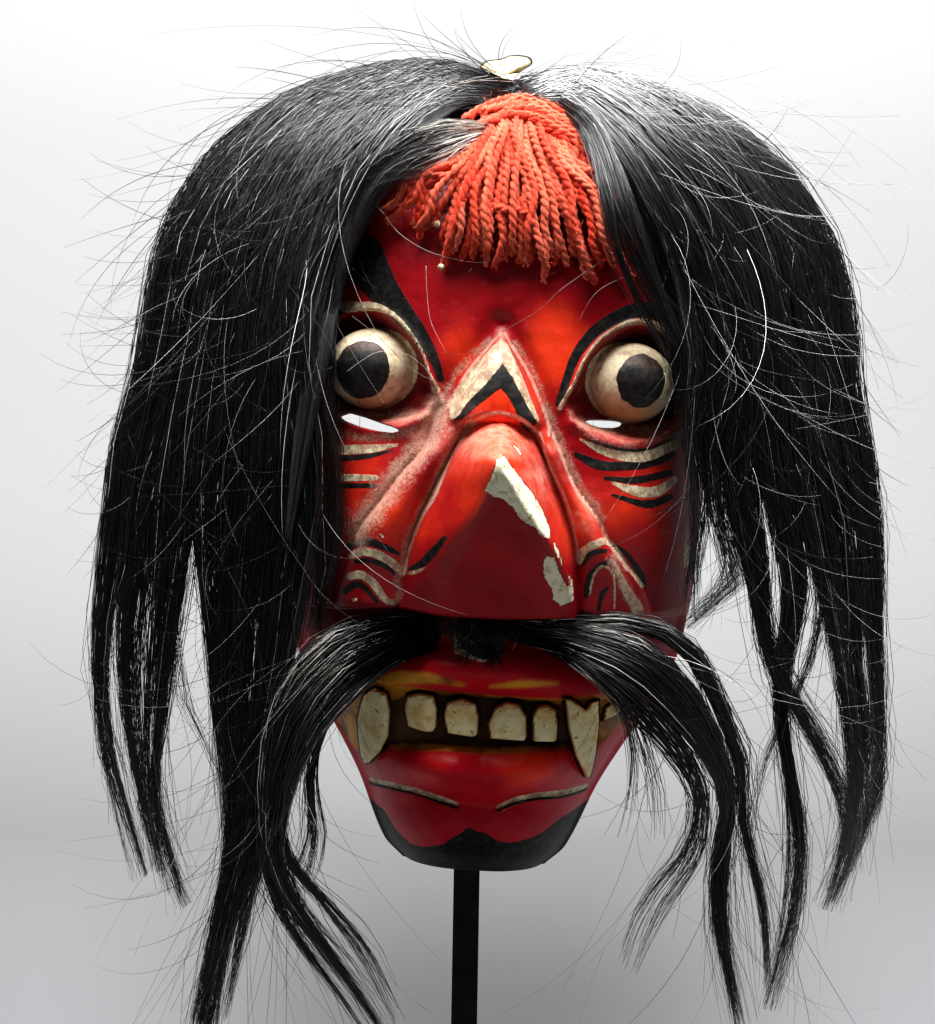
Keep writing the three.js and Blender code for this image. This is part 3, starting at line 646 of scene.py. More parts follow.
def egg_tool(side):
    """An eyeball, a little uneven as it was carved."""
    turns, tilts = 56, 40
    a = np.linspace(0, 2 * math.pi, turns, endpoint=False)[None, :]
    b = np.linspace(0.03, math.pi - 0.03, tilts)[:, None]
    uneven = 1 + 0.016 * grain(EYE_WIDE * np.sin(b) * np.cos(a), EYE_TALL * np.sin(b) * np.sin(a), 6.5, 11)
    x = side * EYE_X + EYE_WIDE * np.sin(b) * np.cos(a) * uneven
    z = EYE_Z + EYE_TALL * np.sin(b) * np.sin(a) * uneven
    middle = float(face_depth(np.array(EYE_X), np.array(EYE_Z))) - EYE_SUNK
    depth = middle + EYE_BULGE * np.cos(b) * uneven + 0 * a
    return lofted("eyeball", np.stack([x, depth, z], 2))


# Where each slit goes through, across and up, with its half height
SLITS = {
    -1: [(-46, 132.2, 0.3), (-43.5, 131.9, 1.5), (-39, 130.6, 1.7), (-34, 129.3, 1.4), (-30, 128.6, 1.0),
         (-28.3, 128.4, 0.3)],
    1: [(24.6, 134.0, 0.2), (26, 133.9, 0.8), (29, 133.7, 1.2), (32.4, 133.8, 1.2), (34.8, 134.1, 0.8),
        (35.6, 134.4, 0.2)],
}


def slit_tool(side):
    """The part of the crescent under an eyeball that light comes through."""
    across, height, half = np.array(SLITS[side], float).T
    x = np.linspace(across[0], across[-1], 26)
    middle, open_half = np.interp(x, across, height), np.interp(x, across, half)
    ring_x = np.concatenate([x, x[::-1]])
    ring_z = np.concatenate([middle + open_half, (middle - open_half)[::-1]])
    rings = [np.stack([ring_x, np.full(len(ring_x), d), ring_z], 1) for d in np.linspace(5.0, 90.0, 12)]
    return lofted("slit", rings)


def mask_mesh():
    body = carved_body()
    for side in (-1, 1):
        boolean(body, egg_tool(side), "UNION")
    boolean(body, hollow_tool(), "DIFFERENCE")
    for side in (-1, 1):
        boolean(body, slit_tool(side), "DIFFERENCE")
    body.data.shade_smooth()
    body.data.set_sharp_from_angle(angle=math.radians(48))
    return body


# Paint: strokes are places on the face and half widths, in millimetres


BLACK_STROKES = [
    ([(16.2, 138), (18.2, 145), (20.6, 152.2), (24.9, 158.6), (30.3, 163), (37, 166.2), (47, 167)],
     [0.9, 1.2, 1.4, 1.6, 1.8, 2.2, 2.8]),
    ([(-17.2, 143.4), (-19.4, 149), (-23.8, 155.8), (-29.4, 162), (-35.4, 168.6), (-42, 178)],
     [1.0, 1.4, 2.2, 3.2, 4.6, 6.5]),
    ([(24.6, 128.8), (35.5, 126.4), (44, 127.2), (51.5, 131.6)], [0.35, 0.6, 0.7, 0.8]),
    ([(22.2, 124.2), (27, 122.2), (32, 121.5), (43, 122.8), (51, 126.2)], [0.8, 1.4, 1.4, 1.1, 1.0]),
    ([(30.6, 118), (39.5, 118), (50.4, 120.8)], [0.5, 1.1, 1.0]),
    ([(33, 113.4), (43.5, 111.4), (51, 114.0)], [0.4, 1.2, 1.0]),
    ([(x, z - 1.1) for x, z in LIP_LINE_LEFT], [0.8, 0.5, 0.45, 0.5, 0.5]),
    ([(x, z - 1.1) for x, z in LIP_LINE_RIGHT], [0.3, 0.5, 0.6, 0.7, 0.6]),
    ([(-45, 119.6), (-36, 120.8), (-29.5, 122.8)], [0.9, 0.7, 0.3]),
    ([(-44.2, 112), (-34, 112.4)], [0.8, 0.7]),
    ([(-41, 94.8), (-36, 96.6), (-30.5, 95.3), (-26, 93.4)], [1.1, 1.2, 1, 0.5]),
    ([(-38.3, 90.6), (-34.6, 91.2), (-29.4, 89.6), (-26.6, 87)], [0.8, 0.7, 0.7, 0.4]),
    ([(-41.4, 81.8), (-38.6, 84), (-35.7, 83.4), (-31.8, 79.6)], [1, 1, 0.9, 0.5]),
    ([(-23.2, 89.4), (-19.8, 91.2), (-17, 94.2), (-13.6, 98.8)], [0.5, 1.1, 1.2, 0.7]),
    ([(25.8, 93.4), (27.8, 96.6), (32, 97.6)], [0.5, 0.9, 0.6]),
    ([(32.8, 100.4), (38.3, 96.8), (43.4, 90.8), (44.8, 87.4)], [0.3, 0.7, 0.9, 0.4]),
    ([(27.3, 84.6), (27.8, 89.9), (30.8, 93.6), (33.8, 94.6)], [0.8, 0.9, 0.8, 0.5]),
    ([(31, 80.8), (31.8, 85.4), (33.4, 87.2)], [0.6, 0.8, 0.4]),
    ([(38.6, 87.6), (43.3, 81.2)], [0.5, 0.8]),
]
CREAM_STROKES = [
    ([(23, 128.6), (28.8, 126), (35.5, 124.6), (43, 125.2), (51.4, 129.2)], [0.3, 1.0, 1.4, 1.5, 1.3]),
    ([(32.4, 117), (39.7, 114.9), (46.3, 115.2), (51.6, 118.8)], [0.3, 1.5, 1.5, 1.2]),
    ([(-45, 122.2), (-36, 122.8), (-28.2, 124.3)], [1.4, 1.2, 0.4]),
    ([(-44.5, 114.2), (-34, 114.6)], [1.1, 0.8]),
    ([(-40, 92.2), (-36.2, 93.6), (-31.1, 92.6), (-26.5, 89.6), (-25, 87.6)], [1, 1.2, 1.2, 1.1, 0.5]),
    ([(-40.2, 86.2), (-36.6, 86.9), (-32.8, 84.4), (-29.7, 80.4), (-27.4, 79.6)], [1.1, 1.2, 1.2, 1, 0.7]),
    ([(24.8, 94.2), (25.7, 97.2), (29.2, 99.4), (32, 100.2), (35.1, 98.2), (38.2, 94.1), (43.7, 87.8)],
     [0.9, 1.1, 1.2, 0.9, 0.6, 0.5, 0.7]),
    ([(28.2, 84.8), (29, 90.7), (31.7, 93.2), (34.8, 90.3), (35.6, 81)], [0.3, 0.35, 0.4, 0.35, 0.3]),
    ([(34.5, 94.4), (38.6, 86.8), (42.4, 81.4)], [0.4, 1.3, 1.8]),
    (BROW_EDGE, [0.7, 0.5, 0.4, 0.4, 0.5, 0.9, 1.1, 1.2]),
    ([(-18.4, 140.4), (-20.2, 144.2), (-23, 151), (-27.2, 156.9), (-31.6, 160.9), (-37, 163.3),
      (-46, 163.4)],
     [1.2, 0.45, 0.4, 0.5, 0.7, 1.2, 1.6]),
    (LIP_LINE_LEFT, [0.7, 0.8, 0.8, 0.7, 0.5]),
    (LIP_LINE_RIGHT, [0.4, 0.7, 0.8, 0.9, 0.8]),
    ([(-23, 88.2), (-20.5, 89.0), (-18.6, 90.2)], [0.5, 0.5, 0.2]),
]
WEDGE_CREAM = [(-0.9, 155.6), (-5, 151), (-8.8, 146.6), (-12.4, 140.4), (-14.4, 135.6), (-13.8, 132),
               (-12.2, 132.2), (-9.6, 136.4), (-4.8, 141.8), (0, 148.2), (2.8, 144.6), (6.4, 138.4),
               (10.2, 132.6), (11.8, 131.4), (9.9, 136), (6.4, 143.4), (3.6, 149.6), (1.4, 153.6)]
WEDGE_BLACK = [(-13.2, 131.8), (-12.2, 135), (-9, 138.6), (-5.6, 142.4), (-2.4, 145.8), (-0.2, 149.6),
               (0.8, 150), (2.4, 147.6), (4.8, 143.2), (7.6, 138), (10.6, 132.4), (8.2, 129.6),
               (6.2, 131.2), (3.8, 136), (1.6, 139.4), (-0.2, 141.2), (-2.6, 139.4), (-6.2, 136.2),
               (-10.8, 131.8)]
CHIPS = [
    [(-0.6, 120.6), (1.4, 122), (5, 117.8), (9.4, 113), (12.6, 108.8), (15.4, 102.8), (15.5, 100.2),
     (12.8, 101.1), (10.8, 103.4), (8.5, 104), (6.6, 105.6), (4.8, 108.3), (1.8, 110.4), (-1, 111),
     (-3.3, 112.4), (-2, 115.2)],
    [(14.6, 95.3), (17.1, 95), (18.6, 91.3), (21.1, 87.3), (23.4, 86.5), (23.6, 83), (20, 81.4),
     (17.7, 83.4), (17.2, 86.2), (15, 88.9), (14, 92.5)],
    [(56.4, 101), (58.6, 100), (58.8, 94), (56.8, 93.2)],
    [(-60.5, 99), (-58.6, 98), (-58.8, 93.6), (-60.6, 94.2)],
]
LOSSES = [
    ([(16.8, 99), (19.4, 93.4)], [0.25, 0.5, 0.2]),
    ([(21.6, 90.6), (23.4, 86)], [0.2, 0.45, 0.2]),
    ([(4.2, 125.4), (6.4, 122.8)], [0.2, 0.35, 0.2]),
    ([(-31.4, 98.6), (-31, 98.2)], [0.4, 0.4]),
    ([(-39, 79.6), (-38.2, 79.8)], [0.5, 0.5]),
]
DUST_LINES = [
    (smooth_line([(-8.3, 131.5), (-13.7, 123.4), (-17.4, 112.4), (-20.7, 106), (-24.3, 97), (-25.4, 88)]),
     1.5, 0.7),
    (smooth_line([(9.6, 129), (12.6, 125), (16.5, 116), (20.6, 109), (24.4, 95)]), 0.8, 0.45),
    (smooth_line([(-4, 155), (-12, 146.5), (-17, 137)]), 1.5, 0.5),
    (smooth_line([(-17, 137), (-20, 127), (-26.4, 117), (-32, 109.4), (-38.5, 99)]), 4.6, 0.75),
    (smooth_line([(3, 155), (9.4, 146), (13.6, 136), (17.6, 126.6)]), 1.2, 0.5),
    (smooth_line([(13.6, 136), (17.6, 126.6), (22.4, 116.6), (30, 107)]), 1.8, 0.6),
    (smooth_line([(-14, 128.8), (-8.4, 132.6), (-2.1, 134.4), (4.4, 133.3), (9, 130)]), 0.8, 0.5),
    (smooth_line([(20, 136), (26, 129.6), (38, 127.8), (52, 132.5)]), 1.4, 0.4),
    (smooth_line([(-20, 134), (-26, 127.8), (-38, 126), (-50, 128)]), 1.6, 0.5),
    (smooth_line([(34, 95), (38, 88), (43, 80.5)]), 2.2, 0.6),
    (smooth_line([(-26.6, 87), (-25.6, 83), (-27, 79.4)]), 1.4, 0.55),
]
# Pale lines along carved edges, each with its half width: worn paint with painted highlight
WORN_AND_LIT_EDGES = [
    (smooth_line([(11, 129.4), (6, 133), (0, 134.4), (-5.6, 132.6), (-9.4, 128.6), (-13.4, 121.4),
                  (-17, 110.6), (-20.6, 104), (-23.8, 94), (-24.6, 88)]), 0.5),
    (smooth_line([(11.6, 138), (14.6, 131), (18.8, 122), (23, 113.6), (29.4, 106.4), (33, 99.8),
                  (38.6, 92.4)]), 0.45),
    (smooth_line([(11.4, 129.6), (14.4, 121), (18.8, 113), (22.4, 104), (24.4, 94)]), 0.4),
    (smooth_line([(-1, 157.2), (-9.6, 146), (-15, 135.4)]), 0.3),
    (smooth_line([(0, 157), (7.8, 145.6), (13.4, 133.4), (14, 129)]), 0.4),
]
CHIN_BAND = [(-46, 24), (-36, 19.6), (-31, 16.6), (-27.5, 15.2), (-24, 10.8), (-18, 6.9), (-10, 8.7),
             (-5.4, 12), (-2.2, 14.2), (2.5, 12.9), (9.3, 10.2), (16, 11.4), (22, 14.8), (26, 17.4),
             (32, 20), (46, 26)]
# Distance given to places that are far from every area of a colour
FAR = 50.0


def nearest(x, z, strokes):
    best = np.full(x.shape, FAR)
    for points, widths in strokes:
        best = np.minimum(best, line_distance(x, z, smooth_line(points), widths))
    return best


def paint(obj):
    """Fields on the mask's vertices: signed distances to each colour's area, and soft amounts."""
    p = unplaced(vertices_of(obj))
    x, depth, z = p[:, 0], p[:, 1], p[:, 2]

    # Eyes, pupils and teeth
    eyes = np.full(x.shape, FAR)
    pupils = np.full(x.shape, FAR)
    for side, pupil in ((-1, (-39.4, 145.2, 7.7, 8.2)), (1, (39.4, 146.2, 6.9, 7.6))):
        r = np.hypot((x - side * EYE_X) / (EYE_WIDE + 0.2), (z - EYE_Z) / (EYE_TALL + 0.2))
        eyes = np.minimum(eyes, (r - 1) * 12)
        ring = np.hypot((x - pupil[0]) / pupil[2], (z - pupil[1]) / pupil[3])
        pupils = np.minimum(pupils, (ring - 1) * 7.5 + 0.35 * grain(x, z, 1.9, 21))
    socket_depth = face_depth(x, z) - depth
    eyes = np.where((np.abs(x) > 20) & (socket_depth > 12), FAR, eyes)
    teeth = np.full(x.shape, FAR)
    for outline, _ in TEETH:
        teeth = np.minimum(teeth, area_distance(x, z, outline))

    # Black: strokes, pupils, the teeth's outlines and the chin's band
    black = nearest(x, z, BLACK_STROKES)
    black = np.minimum(black, area_distance(x, z, WEDGE_BLACK))
    black = np.minimum(black, pupils)
    line = np.where(np.abs(x) > 22.6, 0.75, lerp(0.3, 1.15, smoothstep(z, 44.5, 49)))
    outline = np.maximum(teeth - line, -teeth + 0.05)
    black = np.minimum(black, outline)
    chin = (z - along(CHIN_BAND, x)) * 0.8 + 0.3 * grain(x, z, 2.2, 22)
    black = np.minimum(black, chin)

    # Cream and ochre
    cream = nearest(x, z, CREAM_STROKES)
    cream = np.minimum(cream, area_distance(x, z, WEDGE_CREAM))
    cream = np.minimum(cream, np.maximum(eyes + 0.2, -pupils))
    cream = np.minimum(cream, teeth + 0.15)
    gap = np.minimum(along(LIP_TOP_EDGE, x) - z, z - along(LIP_LOW_EDGE, x))
    ochre = -np.minimum(gap - 0.3, (44 - np.abs(x)))
    streaks = [([(-31, 55), (-25, 57.6), (-16, 58.2), (-6, 57)], [1.2, 2.0, 1.6, 0.5]),
               ([(2, 57), (11, 58.2), (21, 58.8)], [0.5, 1.2, 0.4]), ([(-30, 40), (-25, 37)], [1.6, 1.2])]
    ochre = np.minimum(ochre, nearest(x, z, streaks))

    # Chips, dust, and pale edges of worn paint with painted highlight
    chips = np.full(x.shape, FAR)
    for outline in CHIPS:
        chips = np.minimum(chips, area_distance(x, z, outline))
    chips = np.minimum(chips, nearest(x, z, LOSSES))
    dust = np.zeros(x.shape)
    for line, width, amount in DUST_LINES:
        dust = np.maximum(dust, amount * bell(line_distance(x, z, line), width))
    pale = np.full(x.shape, FAR)
    for line, width in WORN_AND_LIT_EDGES:
        pale = np.minimum(pale, line_distance(x, z, line, width))
    socket = np.full(x.shape, FAR)
    for s in (-1, 1):
        hollow = smooth_line([(s * a, b) for a, b in SOCKET], closed=True)
        socket = np.minimum(socket, area_distance(x, z, hollow))
    under_lid = bell(z - 132.5, 2.6) * (socket < 1) * (eyes > 0)
    dust = np.maximum(dust, 0.5 * under_lid)

    # Soft amounts: where the red is warmer (orange paint with painted light), where it is darker (painted
    # shade), painted highlight spots, and the bare wood inside
    # Warmer red: partly the paint's own orange, partly painted light on faces that catch the lamp; the
    # nose's downward front plane keeps little
    orange_paint_and_light = 0.9 * bell(np.hypot(x - 15, (z - 154) * 0.7), 9) + 0.6 * bell(np.hypot(x + 12, z - 152), 8)
    orange_paint_and_light = (orange_paint_and_light + 0.9 * bell(np.hypot(x - 14, (z - 34) * 1.2), 9)
              + 0.35 * bell(np.hypot(x + 14, (z - 32) * 1.2), 10))
    orange_paint_and_light = (orange_paint_and_light + 0.85 * bell(np.hypot(x, (z - 122) * 0.7), 15)
              + 0.5 * bell(np.hypot(np.abs(x) - 24, z - 103), 11))
    orange_paint_and_light = orange_paint_and_light + 0.45 * bell(np.hypot(np.abs(x) - 42, (z - 112) * 0.8), 14)
    orange_paint_and_light = orange_paint_and_light + 0.5 * bell(np.hypot(x, z - 138), 5)
    front = (x > along(NOSE_FRONT_LEFT, z)) & (x < along(NOSE_FRONT_RIGHT, z)) & (z < 112) & (z > 76)
    orange_paint_and_light = np.where(front, 0.1, np.clip(orange_paint_and_light, 0, 1))
    # Darker red: painted shade in the eye sockets, the recess's dark paint with painted shade under the
    # ledge, and darker towards the crown
    dark = (0.9 * smoothstep(-socket, -0.2, 1.5) + 0.35 * smoothstep(z, 165, 190)
            + 0.6 * smoothstep(z, 188, 196))
    cheek = smoothstep(np.abs(x) / np.maximum(half_width(z), 1), 0.80, 0.96)
    low = smoothstep(LEDGE_Z - z, 0.2, 1.0)
    dark = dark + 0.75 * low * smoothstep(z, 66, 72)
    across = np.abs(x) / np.maximum(half_width(z), 1)
    section = (across ** SECTION_POWER
               + (np.maximum(depth, 0) / np.maximum(plain_depth(z), 1)) ** SECTION_POWER)
    inside = smoothstep(section, 0.93, 0.80) * ((depth < face_depth(x, z) - 11) | (depth < 8))
    # How much each place faces up, for dust with a painted sheen on the upward faces
    normals = np.empty(len(p) * 3, np.float32)
    obj.data.vertex_normals.foreach_get("vector", normals)
    up = np.clip(normals[2::3], 0, 1)
    # Painted highlight spots where the lamp catches the nose walls and folds, none on the nose's front
    # plane
    highlight_spots = (0.9 * bell(np.hypot(x - 12, (z - 117) * 0.7), 5)
               + 0.8 * bell(np.hypot(x - 25, (z - 107) * 0.8), 5))
    highlight_spots = (highlight_spots + 0.6 * bell(np.hypot(x + 7, (z - 125) * 0.8), 5)
               + 0.6 * bell(np.hypot(x + 20, z - 128), 6))
    highlight_spots = np.where(front, 0, np.clip(highlight_spots, 0, 1))
    fields = dict(up=up, low=low, cheek=cheek, highlight_spots=highlight_spots, black=black, cream=cream, ochre=ochre,
                  chips=chips, dust=dust, pale=pale, eyes=eyes, orange_paint_and_light=orange_paint_and_light,
                  dark=np.clip(dark, 0, 1), bare=inside, teeth=teeth)
    for name, values in fields.items():
        set_field(obj, name, np.clip(values, -FAR, FAR))


def paint_material():
    s = Shader("painted_wood")
    ragged = s.math("MULTIPLY_ADD", s.noise(900, 2), 0.55, -0.275)
    fine = s.math("MULTIPLY_ADD", s.noise(2600, 2), 0.22, -0.11)
    wander = s.plus(ragged, fine)

    def covers(name, soft=0.1):
        edge = s.plus(s.field(name), wander)
        return s.ramp(edge, -soft, soft, 1.0, 0.0)


    # Red, warmer where orange paint and painted light lie, and the mouth's ochre
    patches = s.noise(55, 4, 0.6)
    crimson = s.mix(s.ramp(patches, 0.35, 0.7), (0.33, 0.004, 0.012), (0.45, 0.007, 0.014))
    warm_paint_and_light = s.plus(s.field("orange_paint_and_light"), s.math("MULTIPLY_ADD", s.noise(90, 4), 0.7, -0.35))
    red = s.mix(s.ramp(warm_paint_and_light, 0.1, 0.85), crimson, (0.92, 0.060, 0.016))
    red = s.mix(s.times(s.field("low"), 0.85), red,
                s.mix(s.ramp(warm_paint_and_light, 0.1, 0.85), (0.62, 0.007, 0.024), (1.0, 0.045, 0.015)))
    brush = s.noise(170, 4, 0.65, stretch=(1, 1, 0.25))
    red = s.mix(s.ramp(brush, 0.55, 0.8, 0.0, 0.35), red, (0.16, 0.004, 0.006))
    # Painted shade in the sockets and under the ledge, and darker red towards the crown
    red = s.mix(s.times(s.field("dark"), 0.85), red, (0.10, 0.003, 0.005))
    mouth = s.mix(s.ramp(s.noise(110, 3), 0.34, 0.56), (0.24, 0.075, 0.010), (0.74, 0.34, 0.035))
    colour = s.mix(covers("ochre", soft=0.8), red, mouth)

    # Black, then cream with the stained eyes and the ivory teeth
    black_tone = s.mix(s.ramp(s.noise(500, 4, 0.65), 0.40, 0.72), (0.008, 0.008, 0.008),
                       (0.040, 0.036, 0.033))
    colour = s.mix(covers("black"), colour, black_tone)
    cream_tone = s.mix(s.ramp(s.noise(330, 5, 0.7), 0.42, 0.72), (0.82, 0.72, 0.49), (0.46, 0.31, 0.19))
    low_eye = s.tree.nodes.new("ShaderNodeSeparateXYZ")
    s.tree.links.new(s.coordinates, low_eye.inputs[0])
    eye_z = (CHIN_HEIGHT + EYE_Z) * MM
    stain = s.ramp(s.plus(low_eye.outputs["Z"], s.times(wander, 0.004)), eye_z - 0.004, eye_z - 0.010)
    stain = s.times(stain, s.ramp(s.field("eyes"), 0.0, -0.3))
    cream_tone = s.mix(s.times(stain, 0.85), cream_tone, (0.45, 0.22, 0.08))
    grubby = s.times(s.ramp(s.field("eyes"), -2.2, -0.2),
                     s.ramp(s.noise(420, 4, 0.7), 0.42, 0.6, 0.0, 0.75))
    cream_tone = s.mix(grubby, cream_tone, (0.34, 0.17, 0.11))
    specks = s.ramp(s.noise(620, 2), 0.66, 0.72)
    tooth = s.ramp(s.field("teeth"), 0.2, -0.3)
    ivory = s.mix(s.ramp(s.noise(170, 4, 0.6), 0.40, 0.68), (1.0, 0.90, 0.54), (0.80, 0.57, 0.22))
    cream_tone = s.mix(tooth, cream_tone, s.mix(s.times(specks, 0.75), ivory, (0.22, 0.07, 0.02)))
    worn_cream = s.ramp(s.noise(1100, 3), 0.70, 0.76, 0.0, 0.8)
    cream_cover = covers("cream")
    colour = s.mix(cream_cover, colour, cream_tone)
    colour = s.mix(s.times(cream_cover, worn_cream), colour, (0.20, 0.03, 0.02))

    # Dust, pale edges of worn paint with painted highlight, painted highlight spots, and dust with painted
    # sheen
    grains = s.noise(1250, 4, 0.8)
    drifts = s.plus(s.times(grains, 1.5), s.times(s.noise(260, 4, 0.7), 0.9))
    dusty = s.ramp(s.plus(s.field("dust"), drifts), 1.35, 1.95)
    dusty = s.times(dusty, s.ramp(s.field("dust"), 0.02, 0.3))
    dust_tone = s.mix(s.ramp(s.noise(900, 4, 0.75), 0.42, 0.66), (0.66, 0.45, 0.34), (0.34, 0.18, 0.12))
    colour = s.mix(s.times(dusty, 0.78, clamp=True), colour, dust_tone)
    # Pale edges: worn paint with painted highlight
    pale = s.times(covers("pale", soft=0.3), s.ramp(s.noise(420, 4, 0.7), 0.30, 0.55, 0.25, 0.9))
    colour = s.mix(pale, colour, (0.86, 0.55, 0.43))
    # Pale pink on the upper face: patchy dust film with painted sheen, and on upward faces settled dust
    # with painted sheen, less in painted shade
    above = s.math("SUBTRACT", 1.0, s.field("low"))
    film_and_sheen = s.times(above, s.ramp(s.noise(240, 6, 0.75), 0.56, 0.8, 0.0, 0.15))
    # Painted highlight spots: pale pink where the lamp catches the nose walls and folds
    highlight_spots = s.times(s.field("highlight_spots"), s.ramp(s.noise(200, 6, 0.75), 0.38, 0.66, 0.1, 0.75))
    colour = s.mix(highlight_spots, colour, (0.90, 0.42, 0.32))
    dust_and_sheen = s.times(s.ramp(s.field("up"), 0.22, 0.75),
                      s.ramp(s.noise(330, 5, 0.7), 0.36, 0.66, 0.10, 0.6))
    dust_and_sheen = s.times(dust_and_sheen, s.math("SUBTRACT", above, s.times(s.field("dark"), 0.8), clamp=True))
    colour = s.mix(s.plus(film_and_sheen, dust_and_sheen, clamp=True), colour, (0.80, 0.36, 0.26))

    # Chips down to the gesso, and the bare wood inside
    chip_edge = s.plus(s.field("chips"), s.times(wander, 2.2))
    chipped = s.ramp(chip_edge, -0.08, 0.08, 1.0, 0.0)
    gesso = s.mix(s.ramp(s.noise(380, 5, 0.7), 0.48, 0.68), (0.94, 0.88, 0.64), (0.48, 0.39, 0.19))
    rim = s.ramp(chip_edge, 0.0, 0.45, 1.0, 0.0)
    colour = s.mix(s.times(rim, 0.6), colour, (0.05, 0.01, 0.008))
    colour = s.mix(chipped, colour, gesso)
    wood = s.mix(s.noise(60, 5, 0.65, stretch=(4, 4, 0.5)), (0.10, 0.055, 0.028), (0.23, 0.135, 0.07))
    colour = s.mix(s.field("bare"), colour, wood)

    # Gloss and relief
    gloss = s.plus(0.27, s.times(s.noise(130, 5, 0.7), 0.22))
    gloss = s.plus(gloss, s.times(dusty, 0.5))
    gloss = s.math("MAXIMUM", gloss, s.times(chipped, 0.85))
    gloss = s.math("MAXIMUM", gloss, s.times(s.field("bare"), 0.75))
    gloss = s.math("MAXIMUM", gloss, s.times(cream_cover, 0.5), clamp=True)
    gloss = s.math("MAXIMUM", gloss, s.times(covers("black"), 0.48))
    shine = s.math("MULTIPLY_ADD", s.field("low"), -0.16, 0.36)
    shine = s.times(shine, s.math("MULTIPLY_ADD", s.field("cheek"), -0.9, 1.0))
    crackle = s.noise(330, 5, 0.65)
    thick = s.plus(s.times(cream_cover, 0.35), s.times(covers("black"), 0.2))
    height = s.plus(crackle, s.times(thick, s.plus(0.6, s.noise(1500, 3))))
    height = s.math("SUBTRACT", height, s.times(chipped, s.math("MULTIPLY_ADD", s.noise(700, 5), 1.6, 0.8)))
    height = s.plus(height, s.times(dusty, s.noise(1900, 3)))
    s.set(Base_Color=colour, Roughness=gloss, Specular_IOR_Level=shine, Normal=s.bump(height, 0.0004, 0.55))
    return s.material


# Hair


LOCKS = {
    "left": [
        dict(root=40, x=52, shoulder=152, curve=1.8, depth=60),
        dict(root=33, x=66, shoulder=150, curve=2.0, depth=57),
        dict(root=26, x=77, shoulder=148, curve=2.1, depth=49),
        dict(root=19, x=88, shoulder=145, curve=2.2, depth=37),
        dict(root=12, x=99, shoulder=142, curve=2.4, depth=24),
        dict(root=5, x=107, shoulder=140, curve=2.5, depth=12),
    ],
    "right": [
        dict(root=41, x=51, shoulder=148, curve=1.62, depth=60),
        dict(root=40, x=65, shoulder=146, curve=1.75, depth=54),
        dict(root=33, x=73, shoulder=145, curve=1.85, depth=48),
        dict(root=26, x=81, shoulder=144, curve=2.0, depth=41),
        dict(root=19, x=90, shoulder=143, curve=2.2, depth=31),
        dict(root=12, x=98, shoulder=141, curve=2.4, depth=20),
        dict(root=5, x=106, shoulder=140, curve=2.4, depth=11),
    ],
}
LOCK_THICK = 5.0
ROOT_LIFT = 8.0
ROOT_DIP = {-1: 6.0, 1: 8.0}
DIP_REACH = {-1: 22.0, 1: 13.0}
SHOULDER_STEPS = 14
PARTING = 0.6
HIDE_WIDTH = {-1: 15.0, 1: 7.0}

